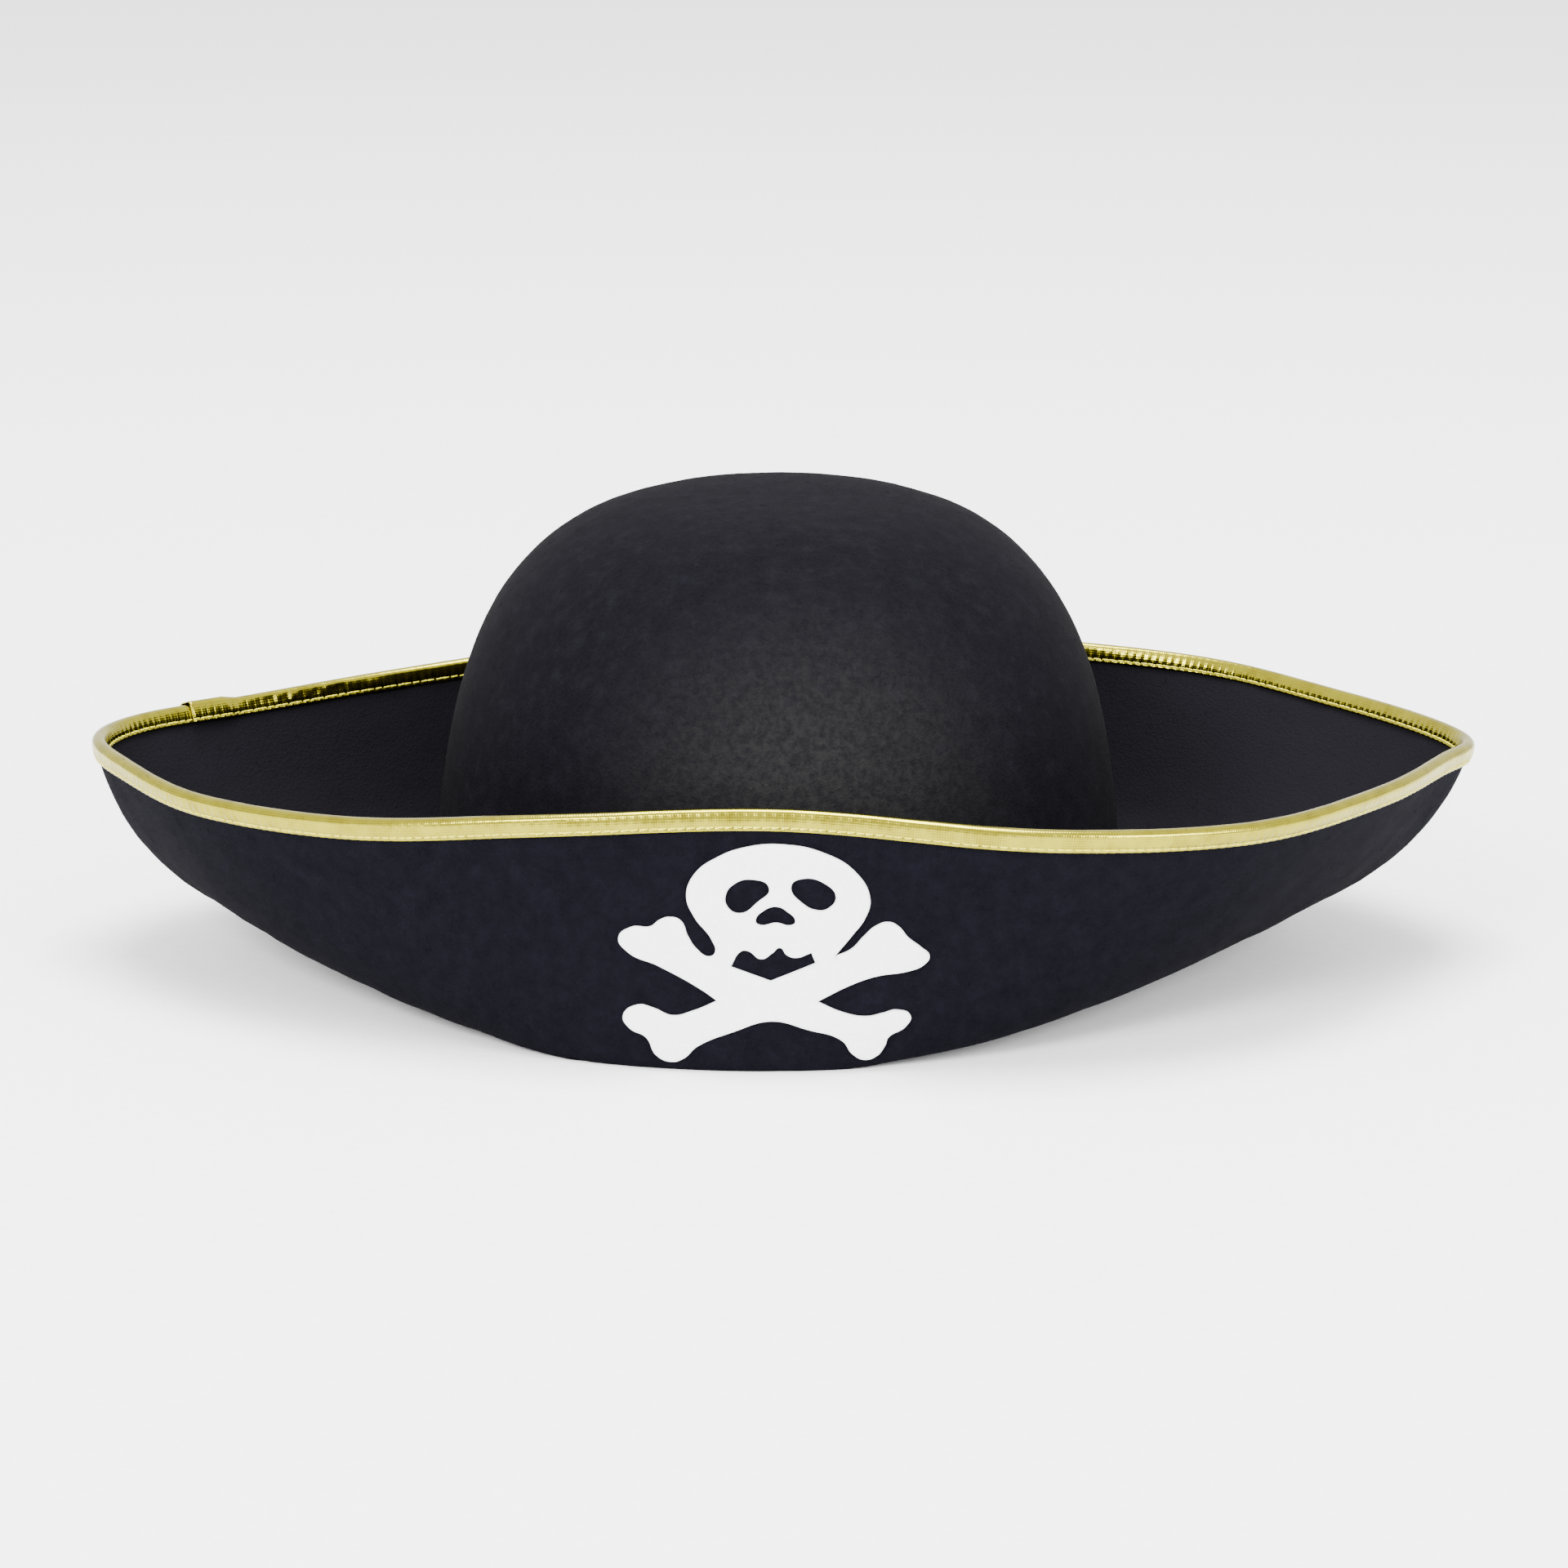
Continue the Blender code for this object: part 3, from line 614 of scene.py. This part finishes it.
def one_stitch(length, radius):
    """The mesh of one stitch along X: a slim rounded thread, bowed up in Z."""
    bpy.ops.object.select_all(action="DESELECT")
    bpy.ops.mesh.primitive_uv_sphere_add(segments=8, ring_count=8, radius=1.0)
    stitch = bpy.context.object
    stitch.data.transform(Matrix.Rotation(math.pi / 2, 4, "Y"))
    for vert in stitch.data.vertices:
        along = vert.co.x
        full = (1 - along ** 6) ** 0.5 / max(0.2, (1 - along ** 2) ** 0.5)
        bow = radius * 0.9 * (1 - along ** 2) - radius * 0.5
        vert.co = Vector((along * length / 2, vert.co.y * radius * full, vert.co.z * radius * full + bow))
    return stitch


def stitch_row(name, stitch, places, material):
    """Copies of one stitch, each at (centre, along, up), joined in one piece."""
    shape = [vert.co.copy() for vert in stitch.data.vertices]
    pattern = [tuple(face.vertices) for face in stitch.data.polygons]
    # A primitive sphere's faces come in any order, so they are put in the same order each run.
    pattern = sorted(face[face.index(min(face)):] + face[:face.index(min(face))] for face in pattern)
    points, faces = [], []
    for centre, along, up in places:
        sideways = up.cross(along).normalized()
        turn = Matrix((along, sideways, along.cross(sideways))).transposed()
        first = len(points)
        points += [centre + turn @ co for co in shape]
        faces += [tuple(first + i for i in face) for face in pattern]
    piece = new_piece(name, points, faces)
    piece.data.shade_smooth()
    piece.data.materials.append(material)
    return piece


def spun_thread(name, dark, light, roughness):
    """Polyester sewing thread: smooth filament with a soft gloss and slight change of shade."""
    thread, shader = new_material(name, roughness)
    place = add_node(thread, "ShaderNodeTexCoord")
    change = add_node(
        thread, "ShaderNodeTexNoise",
        {"Vector": (place, "Object"), "Scale": 1 / THREAD_MOTTLE, "Detail": 2.0})
    ramp = add_node(
        thread, "ShaderNodeValToRGB", {"Fac": (change, "Fac")}, stops=[(0.35, dark), (0.65, light)])
    join(thread, ramp, "Color", shader, "Base Color")
    relief = add_node(
        thread, "ShaderNodeBump", {"Height": (change, "Fac"), "Strength": 0.3, "Distance": 0.05 * MM})
    join(thread, relief, "Normal", shader, "Normal")
    return thread


# Dyed polyester, spun and twisted: a clear yellow, yellower and less bright than the lame.
gold_thread = spun_thread("gold_sewing_thread", "c4bb10", "ded62c", 0.45)
binding_stitch = one_stitch(pitch * STITCH_SHARE, THREAD_RADIUS)
for side, name, node in ((1, "outer_binding_stitches", "binding_stitch_outer"),
                         (-1, "inner_binding_stitches", "binding_stitch_inner")):
    places = []
    for i in range(round(rim_length / pitch)):
        s = (i + 0.5) * pitch
        number = round(s / rim_length * len(path))
        point, outward, down, _ = path[min(len(path) - 1, number)]
        ahead = path[(number + 2) % len(path)][0]
        lift = STITCH_LIFT + (LAP_RISE if s < TAPE_LAP else lap_rise(s))
        across = outward * (lift if side > 0 else -FELT_THICKNESS - lift)
        along = (ahead - point).normalized()
        places.append((point + across + down * STITCH_DROP, along, outward * side))
    stitches = stitch_row(name, binding_stitch, places, gold_thread)
    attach(stitches, "hat")
    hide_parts(node)
bpy.data.objects.remove(binding_stitch)


# ------------------------------------------------------------------------
# Emblem: a skull over crossed bones, die cut from soft white craft felt, glued to the front.
# The cutter rounds its edge slightly. It is flat cloth, and follows the curve of the brim.
# ------------------------------------------------------------------------
EMBLEM_X = -3.1 * MM
EMBLEM_Z = 20.6 * MM
EMBLEM_THICKNESS = 1.15 * MM
EMBLEM_EDGE = 0.75 * MM
EDGE_SHARE = 0.35
EMBLEM_UNEVENNESS = 0.05 * MM
EMBLEM_LUMP = 4 * MM
GLUE = 0.03 * MM
# The mesh has a row of points at each of these depths inside the edge, and an even grid within.
EDGE_ROWS = (0.12 * MM, 0.35 * MM, 0.7 * MM)
GRID_INSET = 1.1 * MM
EMBLEM_GRID = 1.3 * MM
CURVE_STEPS = 9
CRAFT_FELT_TANGLE = 0.9 * MM

# Outlines in millimetres from the crossing of the bones; a third value marks a sharp corner.
EMBLEM_OUTLINE = [
    (3, 36), (12.5, 34.2), (20.3, 29.6), (23.9, 23), (22.8, 18.2), (19.6, 13.7), (15.4, 8.5, 1),
    (19.4, 10.4), (22.3, 13.5), (25.2, 16.1), (28.4, 17.1), (30.9, 15.9), (33.1, 13.2), (36.3, 10.6),
    (38.3, 8.3), (36.8, 6), (33, 4.5), (25.5, 3.4), (18.6, 0.9), (11.3, -2.8, 1), (17.5, -5.6),
    (23, -6.7), (27, -6), (30.4, -5.3), (33.8, -7), (32.6, -9.7), (28.4, -12.4), (27.7, -14.3),
    (25.5, -17), (22.3, -17.8), (19.6, -16.3), (17.2, -12.9), (8.8, -9.9), (0, -7.8), (-8.8, -10.4),
    (-18, -14.5), (-21.1, -17.5), (-24, -18.5), (-27.9, -17), (-30.4, -12.6), (-34.4, -10.5),
    (-36, -7.5), (-32.4, -4.5), (-28.4, -5.2), (-24, -6.8), (-19.1, -5.5), (-13.2, -2.8, 1),
    (-16.7, -0.3), (-27.5, 5.4), (-34.8, 8.5), (-37, 12), (-33.8, 14.8), (-29.2, 15.1),
    (-27, 16.8), (-24.5, 17.6), (-21.8, 16.7), (-20.1, 13), (-18.1, 10), (-15, 8.1), (-13.6, 9.1),
    (-14.4, 12.2), (-18.6, 17.7), (-20.5, 22.8), (-18.6, 28.2), (-12.7, 32.7), (-5.5, 35.3),
]
EMBLEM_CUT_OUTS = [
    [(-5, 27.2), (-0.5, 25.2), (-3.3, 21.7), (-7.7, 18.9), (-10.6, 20.6), (-10.9, 23.4), (-8.9, 26)],
    [(4.9, 25.8), (7.6, 27.6), (13.1, 26.4), (15.6, 23.3), (14, 20.6), (11.6, 19.9), (7.7, 21.5)],
    [(1.5, 20.6), (3.8, 19.5), (5.8, 17), (4.9, 16.2), (1.2, 16.7), (-2.9, 16.2), (-3.7, 17),
     (-1.6, 19.7)],
    [(-9.7, 5.7, 1), (-7.2, 9.5), (-5.7, 9.6), (-2.3, 7.6), (0.3, 9.1), (2.2, 10.5), (3.7, 8.8),
     (5.7, 8.1), (9.7, 9.3, 1), (10.7, 6.8, 1), (-0.1, 2.3, 1)],
]


def outline_loop(points):
    """A smooth closed outline through points, as 2D points in metres."""
    curve = bpy.data.curves.new("outline", "CURVE")
    curve.dimensions = "3D"
    curve.resolution_u = CURVE_STEPS
    spline = curve.splines.new("BEZIER")
    spline.bezier_points.add(len(points) - 1)
    for knot, point in zip(spline.bezier_points, points):
        knot.co = (point[0] * MM, point[1] * MM, 0.0)
        knot.handle_left_type = knot.handle_right_type = "VECTOR" if len(point) > 2 else "AUTO"
    spline.use_cyclic_u = True
    shape = bpy.data.objects.new("outline", curve)
    bpy.context.scene.collection.objects.link(shape)
    mesh = bpy.data.meshes.new_from_object(shape.evaluated_get(bpy.context.evaluated_depsgraph_get()))
    loop = [vert.co.xy.copy() for vert in mesh.vertices]
    bpy.data.objects.remove(shape)
    return loop


def pairs_round(loop):
    """Each point of a closed loop with the next one."""
    return zip(loop, loop[1:] + loop[:1])


def is_inside(point, loop):
    """True if a 2D point is inside a closed loop."""
    inside = False
    for a, b in pairs_round(loop):
        if (a.y > point.y) != (b.y > point.y):
            if point.x < a.x + (point.y - a.y) * (b.x - a.x) / (b.y - a.y):
                inside = not inside
    return inside


def inset_points(loop, towards_inside, depth):
    """The loop's points moved into the cloth by a depth."""
    turning = sum(a.x * b.y - b.x * a.y for a, b in pairs_round(loop))
    side = (1 if turning > 0 else -1) * (1 if towards_inside else -1)
    moved = []
    for i, point in enumerate(loop):
        along = (loop[(i + 1) % len(loop)] - loop[i - 1]).normalized()
        moved.append(point + Vector((-along.y, along.x)) * (side * depth))
    return moved


loops = [outline_loop(outline) for outline in [EMBLEM_OUTLINE] + EMBLEM_CUT_OUTS]
cut_edge = KDTree(sum(len(loop) for loop in loops) * 4)
for loop in loops:
    for a, b in pairs_round(loop):
        for quarter in range(4):
            cut_edge.insert(a.lerp(b, quarter / 4).to_3d(), 0)
cut_edge.balance()


def edge_distance(point):
    """How far a 2D point is from the nearest cut edge."""
    return cut_edge.find(point.to_3d())[2]


def in_cloth(point):
    """True if a 2D point is on the emblem's cloth."""
    return is_inside(point, loops[0]) and not any(is_inside(point, loop) for loop in loops[1:])


def surface_of(piece):
    """A piece's surface, to find where a straight line meets it."""
    return BVHTree.FromPolygons(
        [vert.co for vert in piece.data.vertices], [tuple(face.vertices) for face in piece.data.polygons])


flat, cut_edges = [], []
for loop in loops:
    first = len(flat)
    flat += loop
    cut_edges += [(first + i, first + (i + 1) % len(loop)) for i in range(len(loop))]
for depth in EDGE_ROWS:
    for number, loop in enumerate(loops):
        flat += [p for p in inset_points(loop, number == 0, depth) if edge_distance(p) > 0.85 * depth]
left, right = min(p.x for p in loops[0]), max(p.x for p in loops[0])
bottom, top = min(p.y for p in loops[0]), max(p.y for p in loops[0])
for row in range(int((top - bottom) / EMBLEM_GRID)):
    for column in range(int((right - left) / EMBLEM_GRID)):
        shift = 0.5 * (row % 2)
        point = Vector((left + (column + shift) * EMBLEM_GRID, bottom + row * EMBLEM_GRID))
        if in_cloth(point) and edge_distance(point) > GRID_INSET:
            flat.append(point)
flat, _, triangles, *_ = delaunay_2d_cdt(flat, cut_edges, [], 0, 0.001 * MM)
triangles = [t for t in triangles if in_cloth(sum((flat[i] for i in t), Vector((0, 0))) / 3)]

brim_surface = surface_of(brim)
face_side, back_side = [], []
for point in flat:
    seen_from = Vector((point.x + EMBLEM_X, -0.2, point.y + EMBLEM_Z))
    place, normal, *_ = brim_surface.ray_cast(seen_from, Vector((0, 1, 0)))
    near = min(1.0, edge_distance(point) / EMBLEM_EDGE)
    height = EMBLEM_THICKNESS * (EDGE_SHARE + (1 - EDGE_SHARE) * math.sqrt(1 - (1 - near) ** 2))
    height += EMBLEM_UNEVENNESS * noise.noise(place / EMBLEM_LUMP)
    face_side.append(place + normal * height)
    back_side.append(place + normal * GLUE)
directed = [(t[k], t[(k + 1) % 3]) for t in triangles for k in range(3)]
known = set(directed)
count = len(flat)
emblem_faces = [tuple(t) for t in triangles]
emblem_faces += [tuple(count + i for i in reversed(t)) for t in triangles]
emblem_faces += [(b, a, count + a, count + b) for a, b in directed if (b, a) not in known]
emblem = new_piece("felt_emblem", face_side + back_side, emblem_faces)
face_outwards(emblem)
bpy.ops.object.shade_smooth()

# Craft felt, bleached polyester fibres pressed flat: matt white, with a faint web of strands.
craft_felt, shader = new_material("white_craft_felt", 0.9, sheen=0.15)
shader.inputs["Specular IOR Level"].default_value = 0.3
place = add_node(craft_felt, "ShaderNodeTexCoord")
tangle = add_node(
    craft_felt, "ShaderNodeTexNoise",
    {"Vector": (place, "Object"), "Scale": 1 / CRAFT_FELT_TANGLE, "Detail": 4.0, "Roughness": 0.7,
     "Distortion": 1.2})
ramp = add_node(
    craft_felt, "ShaderNodeValToRGB", {"Fac": (tangle, "Fac")}, stops=[(0.3, "ececf0"), (0.65, "fbfbfd")])
join(craft_felt, ramp, "Color", shader, "Base Color")
relief = add_node(
    craft_felt, "ShaderNodeBump", {"Height": (tangle, "Fac"), "Strength": 0.4, "Distance": 0.25 * MM})
join(craft_felt, relief, "Normal", shader, "Normal")
emblem.data.materials.append(craft_felt)
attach(emblem, "hat")
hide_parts("skull_applique")


# ------------------------------------------------------------------------
# Sweatband: a black grosgrain ribbon round the inside of the head opening, ends lapped behind.
# Grosgrain has thick weft cords, which give it close upright ribs and a firm, even selvedge.
# ------------------------------------------------------------------------
RIB_PITCH = 1.1 * MM
RIB_HEIGHT = 0.14 * MM
STATIONS_PER_RIB = 4
BAND_THICKNESS = 0.6 * MM
SELVEDGE_SHARE = 0.35
BAND_TAPER = 0.05
BAND_LAP = 14 * MM
BAND_LAP_RAMP = 3 * MM
BAND_LAP_RISE = BAND_THICKNESS + RIB_HEIGHT + 0.1 * MM
# Heights of the rows of points above the ribbon's lower selvedge, in millimetres.
BAND_HEIGHTS = [0.0, 0.5, 1.6, 5.0, 10.0, 16.0, 22.0, 25.4, 26.5, 27.0]
BACK = math.pi / 2
FULL_TURN = 2 * math.pi
CRISP_FOLD = 50

band_low, band_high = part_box("sweatband")
band_centre = (band_low + band_high) / 2
band_half = (band_high - band_low) / 2


def band_point(angle, z, inset):
    """A point inside the head opening and the direction away from the head's centre there."""
    narrowing = BAND_TAPER * (z - band_low.z) + inset
    across, deep = band_half.x - narrowing, band_half.y - narrowing
    place = Vector((band_centre.x + across * math.cos(angle), deep * math.sin(angle), z))
    outward = Vector((math.cos(angle) / across, math.sin(angle) / deep, 0.0)).normalized()
    return place, outward


def turn_for(distance):
    """Angles at equal distances along the ribbon, from the middle of the back, and its length."""
    angle = BACK
    angles = []
    travelled = 0.0
    middle = band_low.z + band_half.z
    while angle < BACK + FULL_TURN + BAND_LAP / band_half.x:
        angles.append(angle)
        here = band_point(angle, middle, 0.0)[0]
        ahead = band_point(angle + 0.001, middle, 0.0)[0]
        angle += 0.001 * distance / (ahead - here).length
        travelled += distance
    return angles, travelled


angles, band_length = turn_for(RIB_PITCH / STATIONS_PER_RIB)
rings = []
for number, angle in enumerate(angles):
    past = within_one((angle - BACK - FULL_TURN) * band_half.x / BAND_LAP_RAMP + 1)
    lapped = past * BAND_LAP_RISE
    rib = RIB_HEIGHT * wave(number / STATIONS_PER_RIB)
    ring = []
    for height in BAND_HEIGHTS:
        on_selvedge = height in (BAND_HEIGHTS[0], BAND_HEIGHTS[-1])
        depth = BAND_THICKNESS * SELVEDGE_SHARE if on_selvedge else BAND_THICKNESS + rib
        ring.append(band_point(angle, band_low.z + height * MM, lapped + depth)[0])
    for height in reversed(BAND_HEIGHTS):
        ring.append(band_point(angle, band_low.z + height * MM, lapped)[0])
    rings.append(ring)


def woven_ribbon(name, dark, light, roughness, cord):
    """Close woven ribbon: an even pattern of cords, three to a band, with a low gloss."""
    ribbon, shader = new_material(name, roughness)
    place = add_node(ribbon, "ShaderNodeTexCoord")
    cords = add_node(
        ribbon, "ShaderNodeTexWave",
        {"Vector": (place, "Object"), "Scale": 1 / (cord * 3), "Distortion": 1.0, "Detail": 2.0},
        wave_type="BANDS", bands_direction="Z")
    ramp = add_node(
        ribbon, "ShaderNodeValToRGB", {"Fac": (cords, "Fac")}, stops=[(0.2, dark), (0.8, light)])
    join(ribbon, ramp, "Color", shader, "Base Color")
    relief = add_node(
        ribbon, "ShaderNodeBump", {"Height": (cords, "Fac"), "Strength": 0.3, "Distance": 0.08 * MM})
    join(ribbon, relief, "Normal", shader, "Normal")
    return ribbon


# Dyed polyester ribbon: black with a low gloss. Its yarn is finer than this, and drawn coarser.
sweatband = swept("grosgrain_sweatband", rings, CRISP_FOLD)
sweatband.data.materials.append(woven_ribbon("black_grosgrain", "0d0d10", "1b1b20", 0.6, 0.9 * MM))
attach(sweatband, "hat")
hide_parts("sweatband")


# ------------------------------------------------------------------------
# Black stitching: one row holds the brim's collar in the crown, another holds the sweatband.
# Both are lockstitch in black polyester, with stitches about three millimetres long.
# ------------------------------------------------------------------------
SEAM_PITCH = 3.1 * MM
SEAM_SHARE = 0.84
SEAM_GAP = 0.02
THREAD_OFF_FELT = 0.1 * MM
THREAD_OFF_RIBBON = 0.08 * MM
# The crown's outer surface is looked for from this far outside the sweatband.
OUTSIDE_CROWN = 12 * MM


def middle_height(node):
    """The height of the middle of a CAD node."""
    low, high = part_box(node)
    return (low.z + high.z) / 2


# Black polyester sewing thread: a soft gloss, just light enough to tell from the black felt.
black_thread = spun_thread("black_sewing_thread", "0c0c0f", "1d1d22", 0.5)
seam_stitch = one_stitch(SEAM_PITCH * SEAM_SHARE, THREAD_RADIUS)
crown_surface = surface_of(crown)
crown_seam_z = middle_height("head_seam_stitch")
band_seam_z = middle_height("sweatband_stitch")
outside, inside = [], []
for angle in turn_for(SEAM_PITCH)[0]:
    if angle < BACK + FULL_TURN - SEAM_GAP:
        place, outward = band_point(angle, crown_seam_z, -OUTSIDE_CROWN)
        along = Vector((-outward.y, outward.x, 0.0))
        place, *_ = crown_surface.ray_cast(place, -outward)
        outside.append((place + outward * THREAD_OFF_FELT, along, outward))
        lapped = BAND_LAP_RISE if angle - BACK < BAND_LAP / band_half.x else 0.0
        place, outward = band_point(angle, band_seam_z, lapped + BAND_THICKNESS + RIB_HEIGHT)
        inside.append((place - outward * THREAD_OFF_RIBBON, along, -outward))
for name, node, places in (("head_seam_stitches", "head_seam_stitch", outside),
                           ("sweatband_stitches", "sweatband_stitch", inside)):
    stitches = stitch_row(name, seam_stitch, places, black_thread)
    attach(stitches, "hat")
    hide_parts(node)
bpy.data.objects.remove(seam_stitch)


# ------------------------------------------------------------------------
# Tacks: a few strands of black thread between the crown and the turned-up brim, front and back.
# They keep the brim standing, and are drawn together at the middle, where they are knotted.
# ------------------------------------------------------------------------
STRAND_RADIUS = 0.28 * MM
STRAND_COUNT = 5
STRAND_SPACING = 0.8 * MM
STRAND_WAVE = 0.35 * MM
STRAND_STEPS = 12
STRAND_SIDES = 8
# Each strand runs on into the felt at both ends by this share of the gap.
STRAND_BURIED = 0.1
WAIST = 0.35

for node in ("front_tack_thread", "back_tack_thread"):
    low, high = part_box(node)
    middle = (low + high) / 2
    side = 1 if middle.y > 0 else -1
    start, *_ = crown_surface.ray_cast(Vector((middle.x, side * 0.3, middle.z)), Vector((0, -side, 0)))
    end, *_ = brim_surface.ray_cast(Vector((middle.x, 0.0, middle.z)), Vector((0, side, 0)))
    strands = []
    for number in range(STRAND_COUNT):
        spread = (number - STRAND_COUNT // 2) * STRAND_SPACING
        above = 1 if number % 2 == 0 else -1
        sections = []
        for step in range(STRAND_STEPS + 1):
            t = step / STRAND_STEPS
            gathered = WAIST + (1 - WAIST) * abs(2 * t - 1) ** 1.5
            lift = STRAND_WAVE * above * math.sin(FULL_TURN * t)
            y = start.y + (end.y - start.y) * (t * (1 + 2 * STRAND_BURIED) - STRAND_BURIED)
            centre = Vector((middle.x + spread * gathered, y, middle.z + lift))
            sections.append([
                centre + Vector((math.cos(a), 0.0, math.sin(a))) * STRAND_RADIUS
                for a in (FULL_TURN * k / STRAND_SIDES for k in range(STRAND_SIDES))])
        strands.append(swept(node + "_strand", sections, CRISP_FOLD))
    bpy.ops.object.select_all(action="DESELECT")
    for strand in strands:
        strand.select_set(True)
    bpy.context.view_layer.objects.active = strands[0]
    bpy.ops.object.join()
    tack = bpy.context.object
    tack.name = node + "_strands"
    tack.data.materials.append(black_thread)
    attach(tack, "hat")
    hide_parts(node)


# ------------------------------------------------------------------------
# Care label: a blank strip of white satin ribbon folded double, its two ends under one seam.
# It hangs from the sweatband behind the head, and swings on its stitched top edge.
# ------------------------------------------------------------------------
SATIN_THICKNESS = 0.26 * MM
LABEL_BELLY = 0.35 * MM
LEG_STEPS = 14
FOLD_STEPS = 8
WIDTH_STEPS = 12
LABEL_STITCH_PITCH = 2.6 * MM
LABEL_STITCH_LENGTH = 2.2 * MM

label_low, label_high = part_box("care_label")
label_width = label_high.x - label_low.x
fold_radius = (label_high.y - label_low.y) / 2
axis_y = (label_high.y + label_low.y) / 2
fold_z = label_low.z + fold_radius
leg_height = label_high.z - fold_z
line = []
for step in range(LEG_STEPS + 1):
    t = step / LEG_STEPS
    bellied = LABEL_BELLY * math.sin(math.pi * t) ** 2
    line.append((-fold_radius - bellied, label_high.z - leg_height * t))
for step in range(1, FOLD_STEPS):
    turn = math.pi * step / FOLD_STEPS
    line.append((-fold_radius * math.cos(turn), fold_z - fold_radius * math.sin(turn)))
for step in range(LEG_STEPS + 1):
    line.append((fold_radius, fold_z + leg_height * step / LEG_STEPS))
line = [Vector((0.0, axis_y + y, z)) for y, z in line]
across_label = [
    Vector((label_low.x + label_width * k / WIDTH_STEPS, 0.0, 0.0)) for k in range(WIDTH_STEPS + 1)]
rings = []
for i, point in enumerate(line):
    along = (line[min(i + 1, len(line) - 1)] - line[max(i - 1, 0)]).normalized()
    inward = Vector((0.0, -along.z, along.y)) * SATIN_THICKNESS
    rings.append([point + across for across in across_label]
                 + [point - inward + across for across in reversed(across_label)])
label = swept("satin_care_label", rings, CRISP_FOLD)
# White polyester satin: long floating yarns, so it is smooth and glossier than the grosgrain.
label.data.materials.append(woven_ribbon("white_satin", "e4e4e6", "f2f2f4", 0.32, 0.5 * MM))
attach(label, "label")
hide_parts("care_label")

seam_low, seam_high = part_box("label_stitch")
seam_width = seam_high.x - seam_low.x
places = []
count = round(seam_width / LABEL_STITCH_PITCH)
for i in range(count):
    x = seam_low.x + seam_width * (i + 0.5) / count
    centre = Vector((x, label_low.y - THREAD_OFF_FELT, middle_height("label_stitch")))
    places.append((centre, Vector((1, 0, 0)), Vector((0, -1, 0))))
# White polyester sewing thread: a little duller than the satin that it goes through.
white_thread = spun_thread("white_sewing_thread", "dcdcdc", "f0f0f0", 0.45)
short_stitch = one_stitch(LABEL_STITCH_LENGTH, THREAD_RADIUS)
label_seam = stitch_row("label_stitches", short_stitch, places, white_thread)
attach(label_seam, "label")
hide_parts("label_stitch")
bpy.data.objects.remove(short_stitch)


# ------------------------------------------------------------------------
# Floor, light and camera: a pale sweep of paper, soft boxes above and beside, and a long lens.
# ------------------------------------------------------------------------
FLOOR_SIZE = 6.0
FLOOR_GAP = 0.2 * MM
PAPER_GRAIN = 10 / 3 * MM
SKY_STRENGTH = 2.1
LENS = 120.0
SENSOR_WIDTH = 36.0
CAMERA_DISTANCE = 1.359
CAMERA_AIM_HEIGHT = 60 * MM
CAMERA_HEIGHT_ANGLE = math.radians(14.0)
CAMERA_EXTRA_TILT = math.radians(0.649)

bpy.ops.object.select_all(action="DESELECT")
bpy.ops.mesh.primitive_plane_add(size=FLOOR_SIZE, location=(0.0, 0.0, cad_low.z - FLOOR_GAP))
floor = bpy.context.object
floor.name = "paper_floor"
bpy.ops.object.transform_apply(location=True)
# Uncoated white paper: matt, with a grain so faint that it only keeps the floor from being flat.
paper, shader = new_material("white_paper", 0.85)
place = add_node(paper, "ShaderNodeTexCoord")
grain = add_node(
    paper, "ShaderNodeTexNoise", {"Vector": (place, "Object"), "Scale": 1 / PAPER_GRAIN, "Detail": 2.0})
ramp = add_node(
    paper, "ShaderNodeValToRGB", {"Fac": (grain, "Fac")}, stops=[(0.3, "f1f1f1"), (0.7, "f6f6f6")])
join(paper, ramp, "Color", shader, "Base Color")
floor.data.materials.append(paper)

world = bpy.data.worlds.new("studio")
bpy.context.scene.world = world
world.use_nodes = True
sky = world.node_tree.nodes["Background"]
sky.inputs["Color"].default_value = linear("ffffff")
sky.inputs["Strength"].default_value = SKY_STRENGTH

aim = Vector((0.0, 0.0, cad_high.z / 2))
for name, place, size, power in (("top_light", (0.0, 0.15, 2.3), 1.2, 150.0),
                                 ("left_light", (-1.1, -1.7, 1.3), 0.9, 95.0),
                                 ("right_light", (1.5, -1.2, 0.9), 0.9, 50.0)):
    light = bpy.data.lights.new(name, "AREA")
    light.shape = "SQUARE"
    light.size = size
    light.energy = power
    lamp = bpy.data.objects.new(name, light)
    bpy.context.scene.collection.objects.link(lamp)
    lamp.location = place
    lamp.rotation_euler = (aim - Vector(place)).to_track_quat("-Z", "Y").to_euler()

camera_data = bpy.data.cameras.new("camera")
camera_data.lens = LENS
camera_data.sensor_width = SENSOR_WIDTH
camera = bpy.data.objects.new("camera", camera_data)
bpy.context.scene.collection.objects.link(camera)
camera.location = Vector((
    0.0, -CAMERA_DISTANCE * math.cos(CAMERA_HEIGHT_ANGLE),
    CAMERA_AIM_HEIGHT + CAMERA_DISTANCE * math.sin(CAMERA_HEIGHT_ANGLE)))
camera.rotation_euler = (math.pi / 2 - CAMERA_HEIGHT_ANGLE - CAMERA_EXTRA_TILT, 0.0, 0.0)
bpy.context.scene.camera = camera
